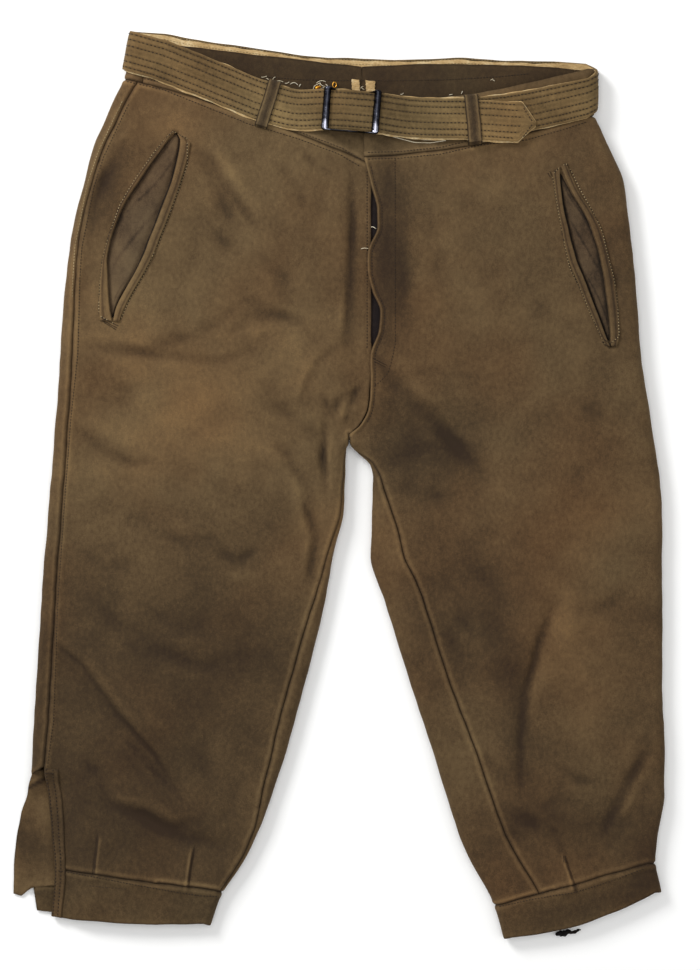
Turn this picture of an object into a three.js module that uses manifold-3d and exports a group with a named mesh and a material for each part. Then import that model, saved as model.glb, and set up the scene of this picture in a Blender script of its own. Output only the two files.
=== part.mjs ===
// Leather knee breeches laid flat, front up, with their own belt.
// Millimetres: +X to the wearer's left, +Y from the hems to the waist, +Z up from the surface they lie on.
//
// The garment is a flattened tube. Every point of its outside is found from a side ('right' or
// 'left'), a station v along that side and a place q around it:
//   v  -1 top edge of the waistband, 0 waist seam, 1 crotch, 2 cuff seam, 3 hem
//   q  0..1 across the top layer from the inner edge to the outer fold, 1..2 round the outer fold,
//      2..3 across the underside back to the inner edge, 3..4 round the inner fold of a leg
import * as THREE from 'three';
import { mergeVertices } from 'three/addons/utils/BufferGeometryUtils.js';
import Module from 'manifold-3d';

const wasm = await Module();
wasm.setup();

// ---------------------------------------------------------------- driving dimensions
const SEAM_GAP = 0.3;
const INSEAM_GAP = 0.4;
const LAY_GAP = 0.5;                 // between a panel and what lies on it
const LEATHER = 1.6;                 // body leather
const DOUBLE = 2.2;                  // waistband and cuffs, two layers pressed together
const TRIM = 1.2;                    // welts, facings and plackets
const BELT_WIDTH = 36.5;
const BELT_LEATHER = 2.0;
const BELT_BACKING = 1.2;
const BELT_STACK = BELT_LEATHER + BELT_BACKING + 2 * SEAM_GAP;
const FLY_DIP = { band: 2.9, front: 2.4 };   // how far the right's edge lies under the left's
const CENTRE = { x: 0.3, y: -1.6 };  // middle of the whole garment, which becomes the origin

const COLOURS = {
  suede: 0x6b5636, dark: 0x4a3c2a, cream: 0xb9a070, chrome: 0xb9bcc2,
};

// ---------------------------------------------------------------- outlines
// Outer folds and the inner folds of the legs, as the widest points of the garment at a height y.
const OUTER = {
  right: [
    { y: 373.5, x: -198 }, { y: 355, x: -208.5 }, { y: 336, x: -216.5 }, { y: 308.5, x: -228 },
    { y: 280.5, x: -235.5 }, { y: 224.5, x: -248.5 }, { y: 169, x: -255 }, { y: 113, x: -258.5 },
    { y: 38.5, x: -264 }, { y: -110, x: -276 }, { y: -194, x: -281 }, { y: -266.5, x: -285 },
    { y: -296, x: -281 }, { y: -329, x: -277 }, { y: -359.5, x: -275.5 },
  ],
  left: [
    { y: 339, x: 237.5 }, { y: 331.5, x: 242 }, { y: 308.5, x: 253 }, { y: 280.5, x: 265 },
    { y: 252.5, x: 269.5 }, { y: 169, x: 278 }, { y: 113, x: 282.5 }, { y: 38.5, x: 294 },
    { y: -26.5, x: 301.5 }, { y: -194, x: 302 }, { y: -249.5, x: 304 }, { y: -291.5, x: 304 },
    { y: -324, x: 298.5 }, { y: -355, x: 295 },
  ],
};
const INNER = {
  right: [
    { y: 35, x: 10.5 }, { y: 30, x: 7.5 }, { y: 20, x: 6.5 }, { y: -26.5, x: 5.5 },
    { y: -57, x: -2 }, { y: -110, x: -12 }, { y: -166, x: -25 }, { y: -222, x: -40 },
    { y: -277.5, x: -56.5 }, { y: -347.5, x: -84.5 }, { y: -382, x: -108 },
  ],
  left: [
    { y: 35, x: 10.5 }, { y: 30, x: 14.5 }, { y: 23.5, x: 22.5 }, { y: 15.5, x: 30 },
    { y: 1.5, x: 32.5 }, { y: -68.5, x: 30.5 }, { y: -110, x: 43 }, { y: -166, x: 60.5 },
    { y: -277.5, x: 96.5 }, { y: -333.5, x: 114.5 }, { y: -394, x: 146 },
  ],
};

// Front edges at the fly. The left front's is wavy and lies on top of the right front's.
const FLY = {
  left: [
    { y: 301, x: 24 }, { y: 275.5, x: 30 }, { y: 251.5, x: 36.5 }, { y: 236, x: 36.5 },
    { y: 210.5, x: 27 }, { y: 196, x: 27 }, { y: 175.5, x: 32 }, { y: 157.5, x: 39 },
    { y: 140, x: 38 }, { y: 116, x: 30 }, { y: 89.5, x: 30 }, { y: 67.5, x: 28 },
    { y: 53, x: 21.5 }, { y: 43.5, x: 10.65 },
  ],
  right: [
    { y: 301, x: 30.5 }, { y: 275.5, x: 30.8 }, { y: 140, x: 30.8 }, { y: 116, x: 31.5 },
    { y: 89.5, x: 29.6 }, { y: 67.5, x: 27 }, { y: 53, x: 20.3 }, { y: 43.5, x: 10.35 },
  ],
};

// Plan places of the ends of each zone: the top layer's inner end, the outer fold's widest point and
// the underside's inner end, with how far the seam or edge there bows towards the waist.
const ENDS = {
  right: {
    bandTop: { inner: [23.5, 341], outer: [-191, 411], back: [21.85, 386], bow: -3, backBow: 0 },
    waist: { innerY: 294.5, outerY: 373.5, backY: 341.5, bow: 5 },
    crotch: { innerY: 43.5, outerY: 38.5 },
    cuff: { inner: [-108, -382], outerY: -359.5, underOuter: [-285, -376] },
    hem: { inner: [-116, -408], outer: [-275, -405], underOuter: [-273, -404], bow: -5 },
  },
  left: {
    bandTop: { inner: [24, 349], outer: [238.5, 382.5], back: [22.15, 386], bow: -6, backBow: 4 },
    waist: { innerY: 301, outerY: 339, backY: 341.5, bow: -8 },
    crotch: { innerY: 43.5, outerY: 38.5 },
    cuff: { inner: [146, -394], outerY: -355 },
    hem: { inner: [154.5, -423], outer: [301, -382.5], bow: -4 },
  },
};
const BACK_SEAM = { waistX: 22, crotchX: 10.5 };

// Height of the top layer and of the underside, and how far the top bulges between the folds.
const HEIGHTS = [
  { v: -1, top: 18, under: 3.8, bulge: 0 },
  { v: 0.02, top: 18, under: 3.8, bulge: 0 },
  { v: 0.12, top: 18.6, under: 0, bulge: 1 },
  { v: 0.3, top: 19.2, under: 0, bulge: 3 },
  { v: 0.6, top: 19, under: 0, bulge: 4 },
  { v: 1, top: 17.6, under: 0, bulge: 4 },
  { v: 1.3, top: 16.2, under: 0, bulge: 4.5 },
  { v: 1.8, top: 15, under: 0, bulge: 4 },
  { v: 2, top: 14, under: 0, bulge: 1.5 },
  { v: 3, top: 13, under: 0, bulge: 1 },
];

// Seams, as the distance in from the widest point of the fold.
const SIDE_SEAM_INSET = [
  { y: 373.5, inset: 13 }, { y: 302.5, inset: 9.8 }, { y: 275, inset: 8 }, { y: 216, inset: 8.5 },
  { y: 146.5, inset: 11.6 }, { y: 57, inset: 12.5 }, { y: -222, inset: 14 }, { y: -268.5, inset: 12 },
  { y: -299, inset: 11 }, { y: -329.5, inset: 10 }, { y: -353, inset: 11.5 }, { y: -405, inset: 8 },
];
const INSEAM_INSET = {
  right: [
    { y: 35, inset: 0 }, { y: -17, inset: 2 }, { y: -73, inset: 5.6 }, { y: -146.5, inset: 13 },
    { y: -219, inset: 14 }, { y: -282.5, inset: 10 }, { y: -324, inset: 4 }, { y: -382, inset: 2 },
  ],
  left: [
    { y: 35, inset: 0 }, { y: 18, inset: 2.8 }, { y: -5, inset: 10 }, { y: -51.5, inset: 26 },
    { y: -97, inset: 35 }, { y: -176, inset: 35.5 }, { y: -257, inset: 39 }, { y: -382.5, inset: 42 },
  ],
};
const LEFT_SIDE_SEAM = 2.05;         // q of the left side seam, on the underside

// Soft troughs (depth > 0) and ridges (depth < 0) of the top layer.
const CREASES = [
  { from: [-272, -150], to: [-146, -292], width: 8, depth: 2.6 },
  { from: [-262, -130], to: [-150, -258], width: 14, depth: -1.6 },
  { from: [205, -105], to: [170, -205], width: 12, depth: 2.4 },
  { from: [170, -205], to: [168, -300], width: 9, depth: 1.8 },
  { from: [268, -255], to: [230, -345], width: 12, depth: 1.6 },
  { from: [-232, 300], to: [-214, 240], width: 10, depth: 1.6 },
  { from: [-14, 52], to: [-12, 5], width: 8, depth: 2 },
  { from: [95, 60], to: [130, -20], width: 14, depth: 1.8 },
  { from: [-150, -325], to: [-95, -345], width: 14, depth: 1.8 },
  { from: [-130, 285], to: [-100, 240], width: 12, depth: 1.2 },
];

// Tucks above the cuffs: the leather is folded over on the side of the tuck's line that 'side' names.
const TUCKS = {
  right: [
    { from: [-222, -328], to: [-226, -362], side: 1 },
    { from: [-134, -341], to: [-140.5, -377], side: -1 },
  ],
  left: [{ from: [210, -347.5], to: [219.5, -378], side: -1 }],
};
const TUCK = { rise: 1.6, width: 9 };

// The right leg's side vent: the front's edge comes down over the underlap.
const VENT = { top: 1.765, open: 1.815, edgeHeight: 5.8, fall: 36, backDrop: 15 };

// ---------------------------------------------------------------- small helpers
const lerp = (a, b, k) => a + (b - a) * k;
const lerpList = (a, b, n) => Array.from({ length: n + 1 }, (_, i) => lerp(a, b, i / n));
const smoothstep = (a, b, x) => {
  const k = Math.min(1, Math.max(0, (x - a) / (b - a)));
  return k * k * (3 - 2 * k);
};

// Smooth monotone reading of one column of a table whose rows are sorted by 'key', either way.
function read(table, key, column, at) {
  const rows = table[0][key] < table.at(-1)[key] ? table : [...table].reverse();
  if (at <= rows[0][key]) return rows[0][column];
  if (at >= rows.at(-1)[key]) return rows.at(-1)[column];
  const i = rows.findIndex((row) => row[key] > at) - 1;
  const slope = (j) => (rows[j + 1][column] - rows[j][column]) / (rows[j + 1][key] - rows[j][key]);
  const tangent = (j) => {
    if (j === 0) return slope(0);
    if (j === rows.length - 1) return slope(j - 1);
    const [a, b] = [slope(j - 1), slope(j)];
    return a * b <= 0 ? 0 : (2 * a * b) / (a + b);
  };
  const span = rows[i + 1][key] - rows[i][key];
  const k = (at - rows[i][key]) / span;
  return (2 * k ** 3 - 3 * k ** 2 + 1) * rows[i][column] + (k ** 3 - 2 * k ** 2 + k) * span * tangent(i)
    + (3 * k ** 2 - 2 * k ** 3) * rows[i + 1][column] + (k ** 3 - k ** 2) * span * tangent(i + 1);
}

const along = (a, b, k) => [lerp(a[0], b[0], k), lerp(a[1], b[1], k)];
const unit = ([x, y]) => [x / Math.hypot(x, y), y / Math.hypot(x, y)];

// Distance of a plan point to a line piece, signed to its left, and how far along it is (0..1).
function beside(line, x, y) {
  const [dx, dy] = [line.to[0] - line.from[0], line.to[1] - line.from[1]];
  const length = Math.hypot(dx, dy);
  const [px, py] = [x - line.from[0], y - line.from[1]];
  return { off: (dx * py - dy * px) / length, k: (dx * px + dy * py) / length ** 2 };
}

// ---------------------------------------------------------------- the garment's surface
// Outward plan normal of a fold line x(y) at a height y.
function foldNormal(table, y, outward) {
  const step = 2;
  const slope = (read(table, 'y', 'x', y + step) - read(table, 'y', 'x', y - step)) / (2 * step);
  return unit([outward, -outward * slope]);
}

// Outward plan normal of the waistband's fold, which leads into the body's below the waist seam.
function waistNormal(side, v, outerY, outward) {
  const waist = [read(OUTER[side], 'y', 'x', ENDS[side].waist.outerY), ENDS[side].waist.outerY];
  const top = ENDS[side].bandTop.outer;
  const band = unit([outward * (top[1] - waist[1]), outward * (waist[0] - top[0])]);
  return unit(along(band, foldNormal(OUTER[side], outerY, outward), smoothstep(0.02, 0.12, v)));
}

// Where the section at v has its inner end, outer fold and underside end, in plan.
function sectionEnds(side, v) {
  const ends = ENDS[side];
  const outward = side === 'right' ? -1 : 1;
  const seamSide = side === 'right' ? -SEAM_GAP / 2 : SEAM_GAP / 2;
  if (v <= 1) {
    const k = Math.max(0, v);
    const up = Math.max(0, -v);
    const innerY = lerp(ends.waist.innerY, ends.crotch.innerY, k);
    const outerY = lerp(ends.waist.outerY, ends.crotch.outerY, k);
    const backY = lerp(ends.waist.backY, ends.crotch.innerY, k);
    return {
      inner: along([read(FLY[side], 'y', 'x', innerY), innerY], ends.bandTop.inner, up),
      outer: along([read(OUTER[side], 'y', 'x', outerY), outerY], ends.bandTop.outer, up),
      back: along([lerp(BACK_SEAM.waistX, BACK_SEAM.crotchX, k) + seamSide, backY], ends.bandTop.back, up),
      innerNormal: [0, -1],
      outerNormal: waistNormal(side, v, outerY, outward),
      bow: lerp(lerp(ends.waist.bow, 0, smoothstep(0, 0.5, v)), ends.bandTop.bow, up),
      backBow: ends.bandTop.backBow * up,
    };
  }
  const k = Math.min(1, v - 1);
  const down = Math.max(0, v - 2);
  const innerY = lerp(INNER[side][0].y, ends.cuff.inner[1], k);
  const outerY = lerp(ends.crotch.outerY, ends.cuff.outerY, k);
  const turn = smoothstep(1, 1.03, v);
  const normal = foldNormal(INNER[side], innerY, -outward);
  const innerEdge = along([read(INNER[side], 'y', 'x', innerY), innerY], ends.hem.inner, down);
  if (v < 1.1) innerEdge[0] += seamSide * (1 - turn);
  return {
    inner: innerEdge,
    outer: along([read(OUTER[side], 'y', 'x', outerY), outerY], ends.hem.outer, down),
    innerNormal: unit([normal[0] * turn, lerp(-1, normal[1], turn)]),
    outerNormal: foldNormal(OUTER[side], outerY, outward),
    bow: ends.hem.bow * down,
    backBow: ends.hem.bow * down,
  };
}

// Plan end of the underside at the outer fold. The right cuff's lies open past the fold.
function underOuterEnd(side, v, outer) {
  if (side === 'left' || v <= VENT.open) return outer;
  const { cuff, hem } = ENDS.right;
  const drop = smoothstep(VENT.open, 2, v) * VENT.backDrop;
  if (v <= 2) return [outer[0], outer[1] - drop];
  return along(cuff.underOuter, hem.underOuter, v - 2);
}

// Heights and plan centres of the folds at v. 'reach' is the half width of a fold in plan.
function section(side, v) {
  const ends = sectionEnds(side, v);
  const top = read(HEIGHTS, 'v', 'top', v);
  const under = read(HEIGHTS, 'v', 'under', v);
  const reach = (top - under) / 2;
  const inset = (point, normal) => [point[0] - normal[0] * reach, point[1] - normal[1] * reach];
  const outer = inset(ends.outer, ends.outerNormal);
  const inner = v > 1 ? inset(ends.inner, ends.innerNormal) : ends.inner;
  const back = v > 1 ? inner : ends.back;
  return {
    ...ends, top, under, reach, outer, inner, back, underOuter: underOuterEnd(side, v, outer),
    bulge: read(HEIGHTS, 'v', 'bulge', v),
    width: Math.hypot(outer[0] - inner[0], outer[1] - inner[1]),
  };
}

// Height that creases and tucks add to the top layer at a plan point.
function relief(side, x, y) {
  let height = 0;
  for (const crease of CREASES) {
    const { off, k } = beside(crease, x, y);
    const ends = smoothstep(-0.15, 0.2, k) * (1 - smoothstep(0.8, 1.15, k));
    height -= crease.depth * ends * Math.exp(-((off / crease.width) ** 2));
  }
  for (const tuck of TUCKS[side]) {
    const { off, k } = beside(tuck, x, y);
    const across = off * tuck.side;
    const folded = smoothstep(-1.5, 0, across) * (1 - smoothstep(TUCK.width * 0.6, TUCK.width * 2, across));
    height += TUCK.rise * folded * smoothstep(-0.3, 0.3, k) * (1 - smoothstep(1.02, 1.25, k));
  }
  return height;
}

// Height of the top layer's outside at v, a share s of the way from the inner edge to the outer fold.
function topHeight(side, cut, v, s, x, y) {
  const torso = 1 - smoothstep(0.85, 1.15, v);
  const bulge = cut.bulge * lerp(Math.sin(Math.PI * s) ** 2, (1 - s * s) ** 2 * (1 - smoothstep(0.85, 1, v)), torso);
  const fromOuter = (1 - s) * cut.width;
  const fromInner = s * cut.width;
  const inner = lerp(smoothstep(0, 18, fromInner), 1, torso);
  let z = cut.top + bulge + relief(side, x, y) * smoothstep(0, 18, fromOuter) * inner;
  if (side === 'right') {
    const dip = v < 0 ? FLY_DIP.band : FLY_DIP.front;
    z -= dip * (1 - smoothstep(12, 34, fromInner)) * (1 - smoothstep(0.86, 0.93, v));
    const edge = cut.width - sideSeamInset(v, y, cut);
    const drop = 1 - smoothstep(0, VENT.fall, edge - fromInner);
    z = lerp(z, VENT.edgeHeight, drop * smoothstep(VENT.top, VENT.open, v));
  }
  return z;
}

const sideSeamInset = (v, y, cut) => Math.max(0, read(SIDE_SEAM_INSET, 'y', 'inset', y) - cut.reach);

// The point of the garment's outside at v and q.
function surface(side, v, qIn) {
  const q = ((qIn % 4) + 4) % 4;
  const cut = section(side, v);
  const middle = (cut.top + cut.under) / 2;
  const bowed = (point, s, bow) => [point[0], point[1] + 4 * bow * s * (1 - s)];
  if (q <= 1) {
    const [x, y] = bowed(along(cut.inner, cut.outer, q), q, cut.bow);
    return [x, y, topHeight(side, cut, v, q, x, y)];
  }
  if (q < 2) {
    const angle = Math.PI * (q - 1);
    const out = cut.reach * Math.sin(angle);
    return [cut.outer[0] + cut.outerNormal[0] * out, cut.outer[1] + cut.outerNormal[1] * out,
      middle + cut.reach * Math.cos(angle)];
  }
  if (q <= 3) {
    const s = q - 2;
    const [x, y] = bowed(along(cut.underOuter, cut.back, s), s, cut.backBow);
    return [x, y, cut.under];
  }
  const angle = Math.PI * (q - 3);
  const out = cut.reach * Math.sin(angle);
  return [cut.inner[0] + cut.innerNormal[0] * out, cut.inner[1] + cut.innerNormal[1] * out,
    middle - cut.reach * Math.cos(angle)];
}

// Outward normal of the surface, from small steps along v and q inside the given range of v.
function surfaceNormal(side, v, q, vRange) {
  const step = 0.004;
  const [v0, v1] = [Math.max(vRange[0], v - step), Math.min(vRange[1], v + step)];
  const vector = (a, b) => new THREE.Vector3(b[0] - a[0], b[1] - a[1], b[2] - a[2]);
  const last = v <= 1 && vRange[1] <= 1 ? 3 : Infinity;
  const openUnder = side === 'right' && v > VENT.open && q >= 2 && q < 3;
  const first = openUnder ? 2 : v < 1 && q >= 0 ? 0 : -Infinity;
  const [q0, q1] = [Math.max(first, q - step), Math.min(last, q + step)];
  const alongV = vector(surface(side, v0, q), surface(side, v1, q));
  const aroundQ = vector(surface(side, v, q0), surface(side, v, q1));
  const normal = aroundQ.cross(alongV).normalize();
  return side === 'right' ? normal : normal.negate();
}

// ---------------------------------------------------------------- walls
// A wall of thickness t inside a sheet. The sheet is { points, normals, quads }, quads of indices
// that turn anticlockwise seen from outside.
function wall(sheet, thickness) {
  const count = sheet.points.length;
  const position = sheet.points.flat();
  sheet.points.forEach((p, i) => {
    const n = sheet.normals[i];
    position.push(p[0] - n.x * thickness, p[1] - n.y * thickness, p[2] - n.z * thickness);
  });
  const index = [];
  const edges = new Map();
  for (const [a, b, c, d] of sheet.quads) {
    index.push(a, b, c, a, c, d, count + a, count + c, count + b, count + a, count + d, count + c);
    for (const [from, to] of [[a, b], [b, c], [c, d], [d, a]]) {
      const back = `${to},${from}`;
      if (edges.has(back)) edges.delete(back);
      else edges.set(`${from},${to}`, [from, to]);
    }
  }
  for (const [from, to] of edges.values()) {
    index.push(from, count + from, count + to, from, count + to, to);
  }
  const geometry = new THREE.BufferGeometry();
  geometry.setAttribute('position', new THREE.Float32BufferAttribute(position, 3));
  geometry.setIndex(index);
  return geometry;
}

// A sheet from blocks of rows of points. Points that two blocks share are welded.
function sheetOf(blocks, flip) {
  const sheet = { points: [], normals: [], quads: [] };
  const known = new Map();
  const add = ({ point, normal }) => {
    const key = point.map((value) => value.toFixed(4)).join();
    if (!known.has(key)) {
      known.set(key, sheet.points.length);
      sheet.points.push(point);
      sheet.normals.push(normal);
    }
    return known.get(key);
  };
  for (const rows of blocks) {
    const ids = rows.map((row) => row.map(add));
    for (let r = 0; r + 1 < ids.length; r += 1) {
      for (let c = 0; c + 1 < ids[r].length; c += 1) {
        const quad = [ids[r][c], ids[r + 1][c], ids[r + 1][c + 1], ids[r][c + 1]];
        sheet.quads.push(flip ? quad.reverse() : quad);
      }
    }
  }
  return sheet;
}

// One block of the garment's surface: for each v in 'stations', the places q that 'columns' gives.
function block(side, stations, columns) {
  const vRange = [stations[0], stations.at(-1)];
  return stations.map((v) => columns(v).map((q) => ({
    point: surface(side, v, q), normal: surfaceNormal(side, v, q, vRange),
  })));
}

// A panel of the garment from blocks of its surface.
const panel = (side, blocks, thickness = LEATHER) => wall(sheetOf(blocks, side === 'right'), thickness);

// ---------------------------------------------------------------- body panels
const TORSO = [0, 0.05, 0.1, 0.17, 0.24, 0.31, 0.38, 0.45, 0.52, 0.59, 0.67, 0.75, 0.83, 0.89, 0.95, 1];
const LEG = [
  1, 1.01, 1.022, 1.03, 1.04, 1.052, 1.07, 1.09, 1.12, 1.2, 1.3, 1.4, 1.5, 1.6, 1.68, 1.74, 1.765,
  1.79, 1.815, 1.84, 1.87, 1.92, 1.96, 2,
];
const FOLD_STEPS = 5;
const UNDER_START = 2.03;             // q of a back's first column that lies flat below
const INSEAM_STRIP = 8;              // first columns inside the inseam, in mm
// Shares of a front's width at its columns, closer together at the tucks and the vent's placket.
const FRONT_SHARES = {
  right: [0, 0.07, 0.13, 0.17, 0.21, 0.3, 0.4, 0.5, 0.6, 0.67, 0.71, 0.75, 0.84, 0.93, 1],
  left: [0, 0.08, 0.16, 0.2, 0.24, 0.33, 0.43, 0.54, 0.65, 0.76, 0.88, 1],
};

// q moved by a distance in mm, across a layer or round a fold.
function shift(cut, q, distance) {
  const onFold = q < 0 || (q > 1 && q < 2) || (q > 3 && q < 4);
  return q + distance / (onFold ? Math.PI * cut.reach : cut.width);
}

// q of a seam on the upper side of a fold, from its distance in from the fold's widest point.
function seamAt(cut, inset, atOuter) {
  if (inset >= cut.reach) {
    const share = (inset - cut.reach) / cut.width;
    return atOuter ? 1 - share : share;
  }
  const turn = Math.asin((cut.reach - inset) / cut.reach) / Math.PI;
  return atOuter ? 1 + turn : -turn;
}

function rightSideSeam(cut) {
  return seamAt(cut, read(SIDE_SEAM_INSET, 'y', 'inset', cut.outer[1]), true);
}

function inseam(side, cut) {
  return seamAt(cut, read(INSEAM_INSET[side], 'y', 'inset', cut.inner[1]), false);
}

// Where a front's main columns start and end.
function frontSpan(side, cut, onLeg) {
  const end = side === 'right' ? shift(cut, rightSideSeam(cut), -SEAM_GAP / 2) : 1;
  const start = onLeg ? Math.max(0, inseam(side, cut) + INSEAM_STRIP / cut.width) : 0;
  return { start, end };
}

// Columns of a front: from the fly edge or inseam to the side seam.
function frontColumns(side, v, onLeg) {
  const cut = section(side, v);
  const { start, end } = frontSpan(side, cut, onLeg);
  const main = FRONT_SHARES[side].map((share) => lerp(start, end, share));
  const edge = onLeg ? shift(cut, inseam(side, cut), INSEAM_GAP / 2) : 0;
  const list = onLeg ? [edge, lerp(edge, start, 0.5), ...main] : main;
  if (side === 'right') return list;
  return [...list, ...lerpList(1, 2, FOLD_STEPS).slice(1), shift(cut, LEFT_SIDE_SEAM, -SEAM_GAP / 2)];
}

function front(side) {
  const torso = block(side, TORSO, (v) => frontColumns(side, v, false));
  const leg = block(side, LEG, (v) => frontColumns(side, v, true));
  return panel(side, [torso, leg]);
}

// Columns of a back: from the side seam round the outer fold to the back seam or inseam.
function backColumns(side, v, onLeg) {
  const cut = section(side, v);
  const seam = side === 'right' ? rightBackEdge(cut, v) : shift(cut, LEFT_SIDE_SEAM, SEAM_GAP / 2);
  const list = side === 'right' ? lerpList(seam, UNDER_START, FOLD_STEPS + 1).slice(0, -1) : [];
  const under = lerpList(side === 'right' ? UNDER_START : seam, 3, 6);
  if (!onLeg) return [...list, ...under];
  const end = 4 + shift(cut, inseam(side, cut), -INSEAM_GAP / 2);
  const foldEnd = Math.min(4, lerp(3, end, 0.75));
  return [...list, ...under, ...lerpList(3, foldEnd, 4).slice(1), lerp(foldEnd, end, 0.5), end];
}

// The right back's outer edge: the side seam, then down round the fold to the underside at the vent.
function rightBackEdge(cut, v) {
  const seam = shift(cut, rightSideSeam(cut), SEAM_GAP / 2);
  return lerp(seam, 2, smoothstep(VENT.top, VENT.open, v));
}

function back(side) {
  const torso = block(side, TORSO, (v) => backColumns(side, v, false));
  const leg = block(side, LEG, (v) => backColumns(side, v, true));
  return panel(side, [torso, leg]);
}

// ---------------------------------------------------------------- waistband
const BAND_ROWS = lerpList(-1, 0, 4);
const bandStations = BAND_ROWS.map((v) => v - SEAM_GAP / 45);

// q of the seam between a side's waistband pieces. Each piece ends HALF_BAND_GAP of q away from it.
const BAND_SEAM = { right: 0.955, left: LEFT_SIDE_SEAM };
const HALF_BAND_GAP = 0.0012;

function waistbandFront(side) {
  const end = BAND_SEAM[side] - HALF_BAND_GAP;
  const columns = () => (side === 'right' ? lerpList(0, end, 10)
    : [...lerpList(0, 1, 10), ...lerpList(1, 2, 6).slice(1), end]);
  return panel(side, [block(side, bandStations, columns)], DOUBLE);
}

function waistbandBack(side) {
  const start = BAND_SEAM[side] + HALF_BAND_GAP;
  const columns = () => (side === 'right' ? [start, ...lerpList(1, 2, 6), ...lerpList(2, 3, 6).slice(1)]
    : lerpList(start, 3, 7));
  return panel(side, [block(side, bandStations, columns)], DOUBLE);
}

// ---------------------------------------------------------------- cuffs and the side vent
const CUFF_ROWS = [2 + SEAM_GAP / 26, 2.3, 2.65, 3];
// The left cuff's ends meet on the underside at q = CUFF_JOIN, each HALF_GAP of q away from it.
const CUFF_JOIN = 2.3;
const HALF_GAP = 0.001;

function cuff(side) {
  const columns = side === 'right' ? rightCuffColumns : () => [
    ...lerpList(CUFF_JOIN + HALF_GAP, 3, 6), ...lerpList(3, 4, FOLD_STEPS).slice(1),
    ...lerpList(4, 5, 10).slice(1), ...lerpList(5, 6, FOLD_STEPS).slice(1), 4 + CUFF_JOIN - HALF_GAP,
  ];
  return panel(side, [block(side, CUFF_ROWS, columns)], DOUBLE);
}

// The right cuff: from its underlying end round the inner fold to the vent's edge on top.
function rightCuffColumns(v) {
  const { start, end } = frontSpan('right', section('right', v), true);
  const top = FRONT_SHARES.right.filter((share, i) => i % 2 === 1 || share > 0.8);
  return [...lerpList(2, 3, 8), ...lerpList(3, 4, FOLD_STEPS).slice(1),
    ...top.map((share) => 4 + lerp(start, end, share))];
}

// Moves a block's points out along their normals.
const movedOut = (rows, distance) => rows.map((row) => row.map(({ point, normal }) => ({
  point: [point[0] + normal.x * distance, point[1] + normal.y * distance, point[2] + normal.z * distance],
  normal,
})));

// Stitched strip on the vent's front edge, over the outermost columns of the front and the cuff.
function ventPlacket() {
  const stations = [...LEG.filter((v) => v >= VENT.top), ...CUFF_ROWS.slice(1)];
  const share = FRONT_SHARES.right.at(-2);
  const rows = block('right', stations, (v) => {
    const { start, end } = frontSpan('right', section('right', v), true);
    return [lerp(start, end, share), lerp(start, end, 0.995)];
  });
  return wall(sheetOf([movedOut(rows, LAY_GAP + TRIM)], true), TRIM);
}

const UNDERLAP = {
  edge: [
    { y: -268, x: -270.5 }, { y: -276, x: -270.5 }, { y: -281.5, x: -271.5 }, { y: -286.5, x: -281 },
    { y: -291.5, x: -289.5 },
    { y: -308.5, x: -295.5 }, { y: -329.5, x: -299.5 }, { y: -353, x: -302 }, { y: -376, x: -303 },
  ],
  inside: -256,
  end: [[-303, -384], [-295.5, -386.5], [-286, -376.5], [-269.5, -372.5], [-256, -372.5]],
  over: 2.1,                         // height of its underside where it lies on the back
};

// Flap behind the vent: on the back's edge near the leg, on the surface below outside it.
function ventUnderlap() {
  const up = new THREE.Vector3(0, 0, 1);
  const backEdge = (y) => read(OUTER.right, 'y', 'x', y) + 7.3;
  const place = ([x, y]) => {
    const inside = Math.max(smoothstep(backEdge(y) - 8, backEdge(y) - 1, x), smoothstep(-302, -288, y));
    return { point: [x, y, UNDERLAP.over * inside + TRIM], normal: up };
  };
  const rows = UNDERLAP.edge.slice(0, -1).map(({ x, y }) => {
    const bend = Math.max(x + 2, backEdge(y) - 8);
    return [x, (x + bend) / 2, bend, Math.max(bend + 2, backEdge(y) - 0.8), UNDERLAP.inside]
      .map((at) => place([at, y]));
  });
  rows.push(UNDERLAP.end.map(place));
  return wall(sheetOf([rows], false), TRIM);
}

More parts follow.
